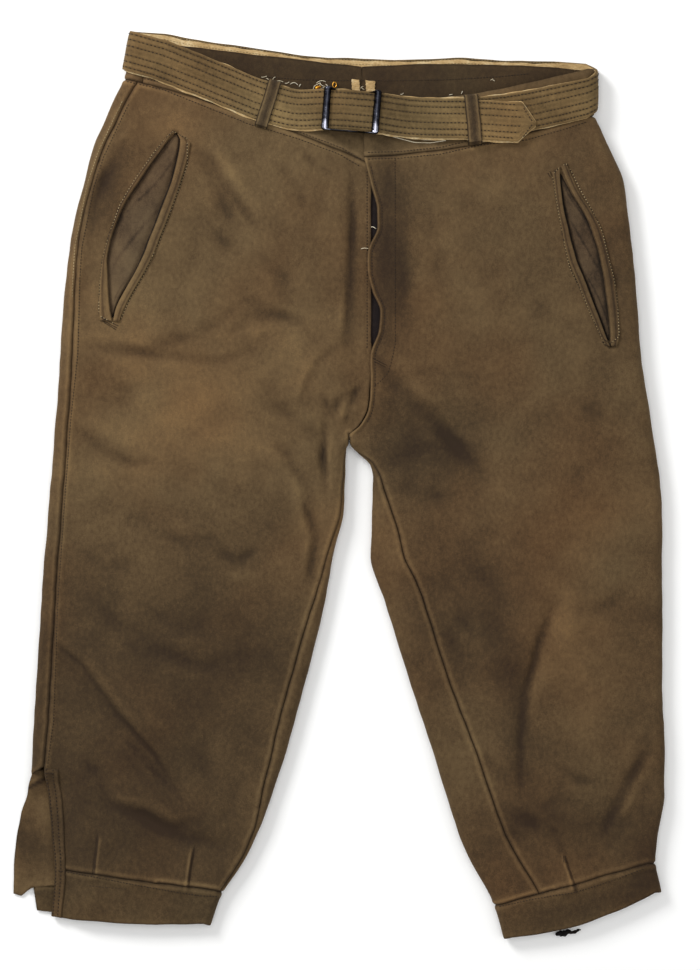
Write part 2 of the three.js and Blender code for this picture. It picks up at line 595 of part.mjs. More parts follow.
// ---------------------------------------------------------------- pockets and fly
// Lines across each pocket: the outer stitched edge, the two lips of the mouth, the inner stitched edge.
const POCKETS = {
  right: [
    { y: 323, outside: -154.5, outerLip: -149.2, innerLip: -148.8, inside: -137.5 },
    { y: 317.5, outside: -160, outerLip: -155.5, innerLip: -146, inside: -136.5 },
    { y: 302.5, outside: -172, outerLip: -167.5, innerLip: -148, inside: -138.5 },
    { y: 280.5, outside: -188, outerLip: -183, innerLip: -153.5, inside: -145 },
    { y: 256, outside: -202, outerLip: -198, innerLip: -162, inside: -152.5 },
    { y: 228.5, outside: -212, outerLip: -209, innerLip: -173, inside: -163.5 },
    { y: 204, outside: -218.5, outerLip: -214, innerLip: -183, inside: -174 },
    { y: 181, outside: -221, outerLip: -213, innerLip: -195.5, inside: -187 },
    { y: 158.5, outside: -221.5, outerLip: -211, innerLip: -206.5, inside: -199 },
    { y: 148.5, outside: -220.5, outerLip: -208.9, innerLip: -208.5, inside: -202.5 },
  ],
  left: [
    { y: 287, outside: 212, outerLip: 206.2, innerLip: 205.8, inside: 198 },
    { y: 280.5, outside: 216.5, outerLip: 209, innerLip: 205.5, inside: 199 },
    { y: 267.5, outside: 224, outerLip: 216.5, innerLip: 207, inside: 201 },
    { y: 249.5, outside: 236, outerLip: 228, innerLip: 210, inside: 204 },
    { y: 232, outside: 244.5, outerLip: 235.5, innerLip: 214, inside: 207.5 },
    { y: 209.5, outside: 250.5, outerLip: 242, innerLip: 219.5, inside: 212 },
    { y: 179, outside: 257, outerLip: 247.5, innerLip: 231.5, inside: 224 },
    { y: 156.5, outside: 259.5, outerLip: 250.5, innerLip: 240, inside: 233.5 },
    { y: 134.5, outside: 261, outerLip: 252.5, innerLip: 248.5, inside: 243.5 },
    { y: 125, outside: 258.5, outerLip: 252.7, innerLip: 252.3, inside: 248.5 },
  ],
};

// The v and q of a plan point on the top layer.
function find(side, x, y) {
  let [low, high] = [-1, 3];
  let share = 0;
  for (let step = 0; step < 30; step += 1) {
    const v = (low + high) / 2;
    const { inner, outer, bow } = section(side, v);
    share = (x - inner[0]) / (outer[0] - inner[0]);
    const rowY = lerp(inner[1], outer[1], share) + 4 * bow * share * (1 - share);
    if (rowY > y) low = v;
    else high = v;
  }
  return { v: (low + high) / 2, q: share };
}

function onTop(side, x, y) {
  const { v, q } = find(side, x, y);
  return { point: surface(side, v, q), normal: surfaceNormal(side, v, q, [-1, 3]) };
}

// Rows of points on the top layer between two of a pocket's lines.
function pocketRows(side, from, to, steps) {
  return POCKETS[side].map((row) => lerpList(row[from], row[to], steps).map((x) => onTop(side, x, row.y)));
}

function pocketWelt(side, from, to) {
  const rows = movedOut(pocketRows(side, from, to, 1), LAY_GAP + TRIM);
  return wall(sheetOf([rows], side === 'right' === (from === 'inside')), TRIM);
}

function pocketFacing(side) {
  const rows = movedOut(pocketRows(side, 'inside', 'outside', 4), -LEATHER - LAY_GAP);
  return wall(sheetOf([rows], side === 'right'), TRIM);
}

const FLY_PLACKET = { from: 293.5, to: 118, inside: 20, outside: 52 };

function flyPlacket() {
  const { from, to, inside, outside } = FLY_PLACKET;
  const up = new THREE.Vector3(0, 0, 1);
  const rows = lerpList(from, to, 9).map((y) => {
    const [, , height] = onTop('right', read(FLY.right, 'y', 'x', y) - 1, y).point;
    return lerpList(inside, outside, 2).map((x) => ({ point: [x, y, height - LEATHER - LAY_GAP], normal: up }));
  });
  return wall(sheetOf([rows], false), TRIM);
}

// ---------------------------------------------------------------- joining and cutting solids
function toSolid(geometry) {
  const plain = geometry.clone();
  plain.deleteAttribute('normal');
  plain.deleteAttribute('uv');
  const merged = mergeVertices(plain, 1e-4);
  return new wasm.Manifold(new wasm.Mesh({
    numProp: 3,
    vertProperties: new Float32Array(merged.attributes.position.array),
    triVerts: new Uint32Array(merged.index.array),
  }));
}

function toGeometry(solid) {
  const { vertProperties, triVerts } = solid.getMesh();
  const geometry = new THREE.BufferGeometry();
  geometry.setAttribute('position', new THREE.Float32BufferAttribute(vertProperties, 3));
  geometry.setIndex([...triVerts]);
  return geometry;
}

// A front with its pocket's mouth cut through.
function frontWithMouth(side) {
  const rows = POCKETS[side];
  const outline = [...rows.map((row) => [row.outerLip, row.y]),
    ...[...rows].reverse().map((row) => [row.innerLip, row.y])];
  const shape = new THREE.Shape(outline.map(([x, y]) => new THREE.Vector2(x, y)));
  const cutter = new THREE.ExtrudeGeometry(shape, { depth: 30, bevelEnabled: false });
  cutter.translate(0, 0, 8);
  return toGeometry(toSolid(front(side)).subtract(toSolid(cutter)));
}

// ---------------------------------------------------------------- belt
// The strap's middle line in plan, from its tip round the waist to its buckle end. 'level' counts
// thicknesses of the strap above the waistband.
const BELT_FRONT = [
  { x: 168, y: 332.5, level: 1 }, { x: 120, y: 335.5, level: 1 }, { x: 70.5, y: 336.5, level: 1 },
  { x: 36, y: 341.5, level: 1.1 }, { x: 11, y: 343.5, level: 1.15 }, { x: -10, y: 345, level: 0.9 },
  { x: -41, y: 345, level: 0.1 }, { x: -70.5, y: 353.5, level: 0 }, { x: -123.5, y: 374.5, level: 0 },
  { x: -165, y: 391, level: 0 },
];
const BELT_BACK = [
  { x: -165, y: 400 }, { x: -128.5, y: 393 }, { x: -82, y: 387 }, { x: -35.5, y: 379.5 },
  { x: 21.5, y: 376.5 }, { x: 76.5, y: 375.5 }, { x: 116, y: 377.5 }, { x: 150.5, y: 375 }, { x: 206.5, y: 373.5 },
];
const BELT_UNDER = [
  { x: 203.5, y: 349, level: 0 }, { x: 171, y: 342.5, level: 0 }, { x: 123, y: 337.5, level: 0 },
  { x: 70.5, y: 337, level: 0 }, { x: 46.5, y: 339.5, level: 0 }, { x: 22, y: 342.5, level: 0 },
];
// Folds at the sides: the middle line slides along the fold's axis from 'from' to 'to'.
const BELT_FOLDS = {
  right: { x: -186.5, from: 397, to: 401.5, axis: [0.184, 0.983], out: -1 },
  left: { x: 230.9, from: 372, to: 355.5, axis: [0.023, 0.9997], out: 1 },
};
const BELT_TIP = [
  { x: 183, y: 331, top: 0.8, bottom: -2 }, { x: 171, y: 332.4, top: 16.8, bottom: -14 },
  { x: 168, y: 332.5, top: 18.25, bottom: -17 },
];
const STRAP_Z = { front: 18.3, back: 3.5 };

// Stations of the strap: its middle on the side that faces the body, width direction and normal.
function beltStations() {
  const stretch = (rows, normal) => {
    const curve = new THREE.CatmullRomCurve3(rows.map(({ x, y, level = 0 }) => new THREE.Vector3(x, y,
      normal.z > 0 ? STRAP_Z.front + level * BELT_STACK : STRAP_Z.back)));
    const steps = Math.round(curve.getLength() / 17);
    return lerpList(0, 1, steps).map((k) => {
      const tangent = curve.getTangentAt(k);
      const width = new THREE.Vector3(-tangent.y, tangent.x, 0).normalize();
      if (width.y < 0) width.negate();
      return { middle: curve.getPointAt(k), width, normal, top: BELT_WIDTH / 2, bottom: -BELT_WIDTH / 2 };
    });
  };
  const fold = ({ x, from, to, axis, out }, startAngle, endAngle) => {
    const width = new THREE.Vector3(axis[0], axis[1], 0).normalize();
    const outward = new THREE.Vector3(out * width.y, -out * width.x, 0);
    const radius = (STRAP_Z.front - STRAP_Z.back) / 2;
    return lerpList(0, 1, 6).map((k) => {
      const angle = lerp(startAngle, endAngle, k);
      const normal = outward.clone().multiplyScalar(Math.sin(angle)).setZ(Math.cos(angle));
      const middle = new THREE.Vector3(x, lerp(from, to, k), STRAP_Z.back + radius);
      middle.addScaledVector(normal, radius);
      return { middle, width, normal, top: BELT_WIDTH / 2, bottom: -BELT_WIDTH / 2 };
    });
  };
  const up = new THREE.Vector3(0, 0, 1);
  const tip = BELT_TIP.map(({ x, y, top, bottom }) => ({
    middle: new THREE.Vector3(x, y, STRAP_Z.front + BELT_STACK), width: new THREE.Vector3(0, 1, 0), normal: up, top, bottom,
  }));
  return [...tip.slice(0, -1), ...stretch(BELT_FRONT, up), ...fold(BELT_FOLDS.right, 0, Math.PI),
    ...stretch(BELT_BACK, up.clone().negate()), ...fold(BELT_FOLDS.left, Math.PI, 0), ...stretch(BELT_UNDER, up)];
}

// A layer of the strap between two distances from the body.
function strapLayer(from, to) {
  const rows = beltStations().map(({ middle, width, normal, top, bottom }) => [top, bottom].map((offset) => ({
    point: middle.clone().addScaledVector(width, offset).addScaledVector(normal, to).toArray(), normal,
  })));
  return wall(sheetOf([rows], false), to - from);
}

// ---------------------------------------------------------------- buckle
const BUCKLE = {
  x: 12.5, y: 343.2, turn: -0.08, base: 26.5, thickness: 2.4, bevel: 0.5,
  width: 53.5, height: 41.2, bar: 7, rail: 1.8, corner: 3,
  centreBar: { radius: 1.3, z: 20.2 }, lug: { width: 5, bottom: 18.8 },
};

function roundedOutline(width, height, corner) {
  const shape = new THREE.Shape();
  const [w, h] = [width / 2, height / 2];
  shape.absarc(w - corner, h - corner, corner, 0, Math.PI / 2);
  shape.absarc(-w + corner, h - corner, corner, Math.PI / 2, Math.PI);
  shape.absarc(-w + corner, -h + corner, corner, Math.PI, 1.5 * Math.PI);
  shape.absarc(w - corner, -h + corner, corner, 1.5 * Math.PI, 2 * Math.PI);
  return shape;
}

function placedAtBuckle(geometry) {
  return geometry.rotateZ(BUCKLE.turn).translate(BUCKLE.x, BUCKLE.y, 0);
}

function buckleFrame() {
  const { width, height, bar, rail, corner, bevel, thickness, base, lug } = BUCKLE;
  const shape = roundedOutline(width - 2 * bevel, height - 2 * bevel, corner);
  shape.holes.push(roundedOutline(width - 2 * bar + 2 * bevel, height - 2 * rail + 2 * bevel, 1.2));
  const ring = new THREE.ExtrudeGeometry(shape, {
    depth: thickness, bevelThickness: bevel, bevelSize: bevel, bevelSegments: 1, curveSegments: 3,
  });
  ring.translate(0, 0, base + bevel);
  let solid = toSolid(ring);
  for (const end of [-1, 1]) {
    const post = new THREE.BoxGeometry(lug.width, rail, base + 2 - lug.bottom);
    post.translate(0, end * (height / 2 - rail / 2), (base + 2 + lug.bottom) / 2);
    solid = solid.add(toSolid(post));
  }
  return placedAtBuckle(toGeometry(solid));
}

function buckleBar() {
  const { height, rail, centreBar } = BUCKLE;
  const bar = new THREE.CylinderGeometry(centreBar.radius, centreBar.radius, height - 2 * rail - 2 * SEAM_GAP, 12);
  return placedAtBuckle(bar.translate(0, 0, centreBar.z));
}

// ---------------------------------------------------------------- loops, tabs and knot
const LOOPS = {
  right: { top: [-57.7, 371.5], bottom: [-71.8, 328], width: 12, over: 22.9 },
  left: { top: [122.5, 359], bottom: [127.5, 312.5], width: 13, over: 26.1 },
};
const LOOP = { leather: 1.5, foot: 1.9, rise: 1.2 };

// A loop as a bridge over the strap, with a foot on the waistband at each end.
function beltLoop(side) {
  const { top, bottom, width, over } = LOOPS[side];
  const { leather, foot, rise } = LOOP;
  const half = Math.hypot(top[0] - bottom[0], top[1] - bottom[1]) / 2;
  const base = STRAP_Z.front;
  const wallStep = leather * 0.9;
  const below = [[half, base], [half - foot, base], [half - foot - rise, over]];
  const above = [[half - foot - rise + wallStep, over + leather], [half - foot + wallStep, base + leather],
    [half, base + leather]];
  const mirrored = (points) => [...points].reverse().map(([s, z]) => [-s, z]);
  const outline = [...below, ...mirrored(below), ...mirrored(above), ...above];
  const shape = new THREE.Shape(outline.map(([s, z]) => new THREE.Vector2(s, z)));
  const loop = new THREE.ExtrudeGeometry(shape, { depth: width, bevelEnabled: false });
  loop.translate(0, 0, -width / 2).rotateX(Math.PI / 2);
  loop.rotateZ(Math.atan2(top[1] - bottom[1], top[0] - bottom[0]));
  return loop.translate((top[0] + bottom[0]) / 2, (top[1] + bottom[1]) / 2, 0);
}

const BACK_TABS = {
  right: [[13, 374.5], [20.3, 373.8], [20.5, 362.5], [13.2, 361.8]],
  left: [[26, 373.5], [35, 372.6], [34.2, 360.8], [26.4, 361.6]],
};
const TAB = { z: 6.4, thickness: 1 };

function backTab(side) {
  const shape = new THREE.Shape(BACK_TABS[side].map(([x, y]) => new THREE.Vector2(x, y)));
  return new THREE.ExtrudeGeometry(shape, { depth: TAB.thickness, bevelEnabled: false }).translate(0, 0, TAB.z);
}

// Knotted end of the knee band, tucked into the left cuff and showing below its hem.
const KNOT = { x: 212, y: -415, z: 5.4, length: 20, radius: 2.8 };

function kneeKnot() {
  const knot = new THREE.CapsuleGeometry(KNOT.radius, KNOT.length - 2 * KNOT.radius, 4, 10);
  return knot.rotateZ(Math.PI / 2 + 0.35).translate(KNOT.x, KNOT.y, KNOT.z);
}

// ---------------------------------------------------------------- the object
const root = new THREE.Group();
root.position.set(-CENTRE.x, -CENTRE.y, 0);

function addNode(name, geometry, colour) {
  const metal = colour === 'chrome';
  const material = new THREE.MeshStandardMaterial({
    color: COLOURS[colour], roughness: metal ? 0.25 : 0.9, metalness: metal ? 1 : 0,
  });
  const mesh = new THREE.Mesh(geometry, material);
  mesh.name = name;
  root.add(mesh);
}

for (const side of ['right', 'left']) {
  addNode(`front_${side}`, frontWithMouth(side), 'suede');
  addNode(`back_${side}`, back(side), 'suede');
  addNode(`waistband_front_${side}`, waistbandFront(side), 'suede');
  addNode(`waistband_back_${side}`, waistbandBack(side), 'suede');
  addNode(`cuff_${side}`, cuff(side), 'suede');
  addNode(`pocket_welt_inner_${side}`, pocketWelt(side, 'inside', 'innerLip'), 'suede');
  addNode(`pocket_welt_outer_${side}`, pocketWelt(side, 'outside', 'outerLip'), 'suede');
  addNode(`pocket_facing_${side}`, pocketFacing(side), 'dark');
  addNode(`belt_loop_${side}`, beltLoop(side), 'dark');
  addNode(`back_tab_${side}`, backTab(side), 'cream');
}
addNode('fly_placket', flyPlacket(), 'dark');
addNode('vent_placket_right', ventPlacket(), 'suede');
addNode('vent_underlap_right', ventUnderlap(), 'suede');
addNode('belt', strapLayer(BELT_BACKING + SEAM_GAP, BELT_BACKING + SEAM_GAP + BELT_LEATHER), 'suede');
addNode('belt_backing', strapLayer(0, BELT_BACKING), 'cream');
addNode('buckle_frame', buckleFrame(), 'chrome');
addNode('buckle_bar', buckleBar(), 'chrome');
addNode('knee_knot_left', kneeKnot(), 'dark');

export default root;
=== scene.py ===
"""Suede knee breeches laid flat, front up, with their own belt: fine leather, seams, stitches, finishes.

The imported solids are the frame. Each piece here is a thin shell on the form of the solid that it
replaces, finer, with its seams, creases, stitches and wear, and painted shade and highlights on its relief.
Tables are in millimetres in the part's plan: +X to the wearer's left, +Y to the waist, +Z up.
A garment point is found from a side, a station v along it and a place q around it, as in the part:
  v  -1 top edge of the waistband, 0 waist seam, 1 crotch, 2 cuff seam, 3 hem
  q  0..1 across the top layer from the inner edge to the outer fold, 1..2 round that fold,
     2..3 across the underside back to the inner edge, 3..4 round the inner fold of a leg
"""
import math
import random
from collections import namedtuple
from types import SimpleNamespace

import bpy
import numpy as np
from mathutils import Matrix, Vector, noise
from mathutils.bvhtree import BVHTree


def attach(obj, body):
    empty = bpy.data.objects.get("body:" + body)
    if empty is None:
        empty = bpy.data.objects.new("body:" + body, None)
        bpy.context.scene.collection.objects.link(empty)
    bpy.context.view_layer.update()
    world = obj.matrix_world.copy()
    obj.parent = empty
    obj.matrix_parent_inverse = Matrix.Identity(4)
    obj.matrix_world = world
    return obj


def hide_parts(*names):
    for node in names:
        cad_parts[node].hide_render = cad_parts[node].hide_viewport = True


bpy.context.scene.view_settings.view_transform = "Standard"
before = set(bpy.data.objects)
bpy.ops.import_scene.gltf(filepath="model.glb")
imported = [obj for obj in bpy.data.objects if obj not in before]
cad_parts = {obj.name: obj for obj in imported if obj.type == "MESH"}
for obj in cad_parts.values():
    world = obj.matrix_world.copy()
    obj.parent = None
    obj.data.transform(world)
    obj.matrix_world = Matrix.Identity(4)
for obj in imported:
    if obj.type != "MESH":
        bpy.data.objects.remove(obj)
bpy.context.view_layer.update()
random.seed(7)

# ---------------------------------------------------------------- driving dimensions
SIDES = ("right", "left")
SEAM_GAP = 0.3                        # between two pieces at a seam
INSEAM_GAP = 0.4                      # the same at an inseam, which lies on a narrow fold
LAY_GAP = 0.5                         # under a piece that lies on another
LEATHER = 1.6                         # a panel
DOUBLE = 2.2                          # a turned band
TRIM = 1.2                            # a welt or placket
BELT_WIDTH = 36.5
BELT_LEATHER = 2.0
BELT_BACKING = 1.2
BELT_STACK = BELT_LEATHER + BELT_BACKING + 2 * SEAM_GAP
BELT_OUTSIDE = BELT_BACKING + SEAM_GAP + BELT_LEATHER
FLY_DIP_BAND, FLY_DIP_FRONT = 2.9, 2.4
CENTRE_X, CENTRE_Y = 0.3, -1.6
GRID = 3.2          # spacing of a panel's points away from its seams
ACROSS = {"front": 250, "back": 230, "waistband": 220, "cuff": 150}     # mm, for a row's number of columns

# ---------------------------------------------------------------- outlines, as in the part
OUTER = {  # (y, x) of the outer folds
    "right": [(373.5, -198), (355, -208.5), (336, -216.5), (308.5, -228), (280.5, -235.5),
              (224.5, -248.5), (169, -255), (113, -258.5), (38.5, -264), (-110, -276), (-194, -281),
              (-266.5, -285), (-296, -281), (-329, -277), (-359.5, -275.5)],
    "left": [(339, 237.5), (331.5, 242), (308.5, 253), (280.5, 265), (252.5, 269.5), (169, 278),
             (113, 282.5), (38.5, 294), (-26.5, 301.5), (-194, 302), (-249.5, 304), (-291.5, 304),
             (-324, 298.5), (-355, 295)],
}
INNER = {  # (y, x) of the inner folds of the legs
    "right": [(35, 10.5), (30, 7.5), (20, 6.5), (-26.5, 5.5), (-57, -2), (-110, -12), (-166, -25),
              (-222, -40), (-277.5, -56.5), (-347.5, -84.5), (-382, -108)],
    "left": [(35, 10.5), (30, 14.5), (23.5, 22.5), (15.5, 30), (1.5, 32.5), (-68.5, 30.5),
             (-110, 43), (-166, 60.5), (-277.5, 96.5), (-333.5, 114.5), (-394, 146)],
}
FLY = {  # (y, x) of the fronts' edges at the fly
    "left": [(301, 24), (275.5, 30), (251.5, 36.5), (236, 36.5), (210.5, 27), (196, 27), (175.5, 32),
             (157.5, 39), (140, 38), (116, 30), (89.5, 30), (67.5, 28), (53, 21.5), (43.5, 10.65)],
    "right": [(301, 30.5), (275.5, 30.8), (140, 30.8), (116, 31.5), (89.5, 29.6), (67.5, 27),
              (53, 20.3), (43.5, 10.35)],
}
ENDS = {
    "right": SimpleNamespace(
        top_inner=(23.5, 341), top_outer=(-191, 411), top_back=(21.85, 386), top_bow=-3, back_bow=0,
        waist_inner=294.5, waist_outer=373.5, waist_back=341.5, waist_bow=5,
        crotch_inner=43.5, crotch_outer=38.5, cuff_inner=(-108, -382), cuff_outer=-359.5,
        cuff_under=(-285, -376), hem_inner=(-118.5, -413.5), hem_outer=(-275, -405),
        hem_under=(-280.5, -400), hem_bow=-2.5),
    "left": SimpleNamespace(
        top_inner=(24, 349), top_outer=(238.5, 382.5), top_back=(22.15, 386), top_bow=-6, back_bow=4,
        waist_inner=301, waist_outer=339, waist_back=341.5, waist_bow=-8,
        crotch_inner=43.5, crotch_outer=38.5, cuff_inner=(146, -394), cuff_outer=-355,
        hem_inner=(154.5, -425.5), hem_outer=(301, -382.5), hem_bow=-8),
}
BACK_SEAM_WAIST, BACK_SEAM_CROTCH = 22, 10.5
TOP = [(-1, 18), (0.02, 18), (0.12, 18.6), (0.3, 19.2), (0.6, 19), (1, 17.6), (1.3, 16.2), (1.8, 15),
       (2, 14), (3, 13)]
UNDER = [(-1, 3.8), (0.02, 3.8), (0.12, 0), (0.3, 0), (3, 0)]
BULGE = [(-1, 0), (0.02, 0), (0.12, 1), (0.3, 3), (0.6, 4), (1, 4), (1.3, 4.5), (1.8, 4), (2, 1.5), (3, 1)]
SIDE_SEAM_INSET = [(373.5, 13), (302.5, 9.8), (275, 8), (216, 8.5), (146.5, 11.6), (57, 12.5), (-222, 14),
                   (-268.5, 12), (-299, 11), (-329.5, 10), (-353, 11.5), (-405, 8)]
INSEAM_INSET = {
    "right": [(35, 0), (-17, 2), (-73, 5.6), (-146.5, 13), (-219, 14), (-282.5, 10), (-324, 4), (-382, 2)],
    "left": [(35, 0), (18, 2.8), (-5, 10), (-51.5, 26), (-97, 35), (-176, 35.5), (-257, 39), (-382.5, 42)],
}
LEFT_SIDE_SEAM = 2.05
UNDER_START = 2.03
VENT_TOP, VENT_OPEN, VENT_EDGE_HEIGHT, VENT_FALL, VENT_BACK_DROP = 1.765, 1.815, 5.8, 36, 15
BAND_SEAM = {"right": 0.955, "left": LEFT_SIDE_SEAM}
HALF_BAND_GAP = 0.0012
CUFF_JOIN, CUFF_HALF_GAP = 2.3, 0.001

# Troughs (depth > 0) and ridges (depth < 0) of the top layer: from, to, width, depth.
CREASES = [
    ((-272, -150), (-146, -292), 8, 2.6), ((-262, -130), (-150, -258), 14, -1.6),
    ((205, -105), (170, -205), 12, 2.4), ((170, -205), (168, -300), 9, 1.8),
    ((268, -255), (230, -345), 12, 1.6), ((-232, 300), (-214, 240), 10, 1.6),
    ((-14, 52), (-12, 5), 8, 2), ((95, 60), (130, -20), 14, 1.8),
    ((-150, -325), (-95, -345), 14, 1.8), ((-130, 285), (-100, 240), 12, 1.2),
]
# Tucks above the cuffs: from, to and the side on which the leather folds over.
TUCKS = {
    "right": [((-222, -328), (-226, -362), 1), ((-134, -341), (-140.5, -377), -1)],
    "left": [((210, -347.5), (219.5, -378), -1)],
}
TUCK_RISE, TUCK_WIDTH = 1.6, 9
TUCK_COLUMN, TUCK_LEG_WIDTH = 0.9, 175     # mm between the columns at a tuck, and across the leg there

# ---------------------------------------------------------------- what only the fine shells carry
# Soft uneven troughs and ridges that lie between the large ones: points, width, depth.
FINE_TOP = [
    ([(-266, -148), (-238, -170), (-208, -212), (-172, -252), (-146, -291)], 2.4, 2.0),
    ([(-262, -140), (-228, -172), (-196, -214), (-160, -254)], 4.5, -1.2),
    ([(-213, -302), (-180, -312), (-148, -330), (-110, -338)], 5.5, 2.2),
    ([(-214, -290), (-176, -300), (-140, -316)], 5, -1.2),
    ([(-214, -172), (-180, -214), (-152, -240)], 7, -0.9), ([(-11, 58), (-14, 24), (-11, -12)], 2.8, 3.2),
    ([(-6, 56), (-8, 20), (-5, -8)], 2.6, -1.1), ([(-32, -16), (-21, -50), (-27, -98)], 3.6, 2.6),
    ([(-38, -16), (-28, -52), (-33, -96)], 4, -0.9), ([(-18, 86), (-10, 70), (-12, 56)], 3, 1.3),
    ([(21, 90), (12, 72), (7, 54)], 2.6, 2.2), ([(15, 92), (6, 74), (1, 56)], 2.6, -1.2),
    ([(-48, 30), (-36, -4), (-40, -46)], 8, -0.9),
    ([(-196, 322), (-212, 290), (-226, 258), (-230, 226)], 5, 2.2),
    ([(-186, 334), (-205, 312), (-217, 280)], 5, -1.2),
    ([(-134, 314), (-118, 286), (-102, 250), (-92, 226)], 6, 1.6),
    ([(-126, 250), (-106, 222), (-84, 206)], 7, 1.2), ([(-122, 318), (-104, 288), (-90, 262)], 7, -0.8),
    ([(-126, 262), (-130, 220), (-140, 190)], 7, 0.9), ([(-60, 316), (-86, 300), (-110, 296)], 7, 0.9),
    ([(-230, 214), (-238, 180), (-232, 140)], 8, 0.8),
    ([(8, 292), (12, 240), (8, 180), (13, 120)], 5, 0.9), ([(-6, 290), (-16, 262), (-20, 236)], 5, 0.7),
    ([(62, 292), (58, 230), (62, 170), (56, 130)], 6, 0.7), ([(46, 96), (52, 70), (44, 44)], 6, 0.8),
    ([(204, -104), (188, -146), (174, -196), (169, -240), (170, -296)], 3, 2.2),
    ([(212, -104), (197, -148), (183, -196), (178, -240)], 5, -1.1),
    ([(200, -262), (222, -276), (250, -280)], 4, 1.3), ([(222, -96), (208, -150), (190, -196)], 9, -1.0),
    ([(290, -246), (266, -286), (240, -340)], 5, 2.2), ([(297, -246), (276, -286), (252, -336)], 4, -1.2),
    ([(150, -300), (178, -316), (200, -334)], 6, 1.5), ([(280, -230), (262, -262), (240, -300)], 8, -0.8),
    ([(196, -318), (206, -334), (210, -350)], 4, 1.1), ([(250, -340), (262, -318), (274, -302)], 4, 0.9),
    ([(150, -318), (168, -330), (182, -346)], 5, 0.9), ([(176, -306), (206, -296), (232, -300)], 6, 0.7),
    ([(-218, -300), (-190, -304), (-160, -318)], 5, 1.1),
    ([(-178, -318), (-150, -322), (-120, -312)], 5, 0.9),
    ([(-110, -300), (-128, -250), (-108, -214)], 9, 0.8),
    ([(-190, -120), (-150, -136), (-110, -122)], 11, 0.8),
    ([(-236, -20), (-200, -40), (-150, -30)], 12, 0.7), ([(84, 70), (104, 40), (130, 22)], 6, 1.0),
    ([(40, 10), (62, 26), (92, 34)], 6, 0.8), ([(52, 0), (80, -14), (108, -12)], 7, 0.8),
    ([(-18, 76), (-44, 66), (-76, 70)], 8, 0.8), ([(250, 120), (236, 60), (246, 10)], 10, 0.45),
    ([(120, -60), (150, -104), (146, -150)], 9, 0.8), ([(100, 268), (140, 250), (176, 256)], 10, 0.6),
    ([(-199, -238), (-170, -268), (-136, -305)], 3, 1.3),
    ([(-207, -246), (-178, -276), (-146, -310)], 6, 0.7), ([(54, 330), (46, 260), (48, 200)], 4, 0.5),
    ([(-36, 70), (-20, 110), (4, 130)], 3.5, 1.0), ([(-44, 60), (-28, 104), (-2, 140)], 3.5, -0.9),
    ([(11, 294), (15, 248), (13, 206), (10, 160), (6, 118)], 2.6, 1.7),
    ([(6, 290), (9, 248), (7, 206), (4, 160), (0, 122)], 3, -1.0),
    ([(-122, 308), (-106, 278), (-84, 248), (-66, 224)], 4, 1.6),
    ([(-114, 312), (-96, 282), (-74, 254)], 4, -1.0), ([(-36, 310), (-22, 294), (-2, 284)], 4, 1.1),
    ([(-60, 300), (-40, 276), (-26, 246)], 5, 0.9),
    ([(-99, 136), (-82, 152), (-59, 155), (-35, 148), (-19, 130)], 4.5, 1.6),
    ([(-91, 127), (-71, 141), (-45, 141)], 4, -0.9), ([(-138, 136), (-114, 145), (-87, 169)], 5, 1.2),
    ([(22, 88), (2, 76), (-8, 58)], 3, 1.8), ([(18, 74), (6, 62), (-2, 44)], 3, -1.0),
    ([(-247, 130), (-212, 122), (-166, 117), (-114, 111), (-77, 122)], 4, 1.7),
    ([(-236, 138), (-205, 131), (-165, 127)], 4, -0.9),
    ([(-245, 53), (-221, 31), (-193, 18), (-161, 18)], 5, 1.5),
    ([(-235, 80), (-203, 74), (-175, 57)], 6, 1.0), ([(-234, 62), (-210, 44), (-184, 34)], 5, -0.8),
    ([(-114, -59), (-93, -75), (-71, -59)], 4, 1.6), ([(-121, -73), (-99, -90), (-74, -84)], 5, -0.9),
    ([(-82, 50), (-49, 25), (-28, -8), (-19, -36)], 5, 1.3), ([(-71, 76), (-35, 53), (-15, 39)], 5, 1.0),
    ([(-72, 40), (-46, 12), (-34, -16)], 5, -0.8),
    ([(-198, -131), (-166, -157), (-124, -173), (-82, -161)], 6, 1.4),
    ([(-231, -110), (-205, -134), (-184, -161)], 6, 0.9),
    ([(-190, -118), (-150, -146), (-110, -152)], 6, -0.8),
    ([(32, 118), (58, 83), (95, 48), (123, 18), (140, -3)], 6, 1.7),
    ([(44, 122), (76, 88), (112, 56)], 7, -0.9), ([(206, 80), (244, 62), (281, 76)], 6, 0.5),
    ([(95, -73), (109, -110), (123, -147)], 7, 0.9),
    ([(-218, 132), (-180, 122), (-140, 134), (-104, 128)], 5, 1.1),
    ([(-226, 96), (-196, 84), (-160, 88)], 6, 1.0), ([(-176, -42), (-140, -58), (-108, -52)], 6, 1.1),
    ([(-244, -62), (-214, -80), (-180, -74)], 6, 0.9), ([(-76, 214), (-52, 190), (-44, 160)], 6, 0.9),
    ([(-96, 180), (-72, 160), (-66, 128)], 6, 0.8), ([(176, 176), (196, 150), (226, 140)], 7, 0.8),
    ([(80, 250), (96, 210), (90, 170)], 7, 0.8), ([(250, 30), (222, 6), (190, 2)], 7, 0.9),
    ([(270, -100), (240, -120), (214, -116)], 6, 1.0),
    ([(-236, -256), (-220, -276), (-214, -306)], 5, 1.0),
    ([(-92, -276), (-100, -306), (-120, -322)], 5, 1.0),
    ([(130, -236), (140, -262), (158, -280)], 5, 0.9), ([(96, -130), (112, -160), (116, -200)], 6, 0.9),
    ([(-90, 140), (-60, 100), (-64, 60)], 11, 0.6),
]
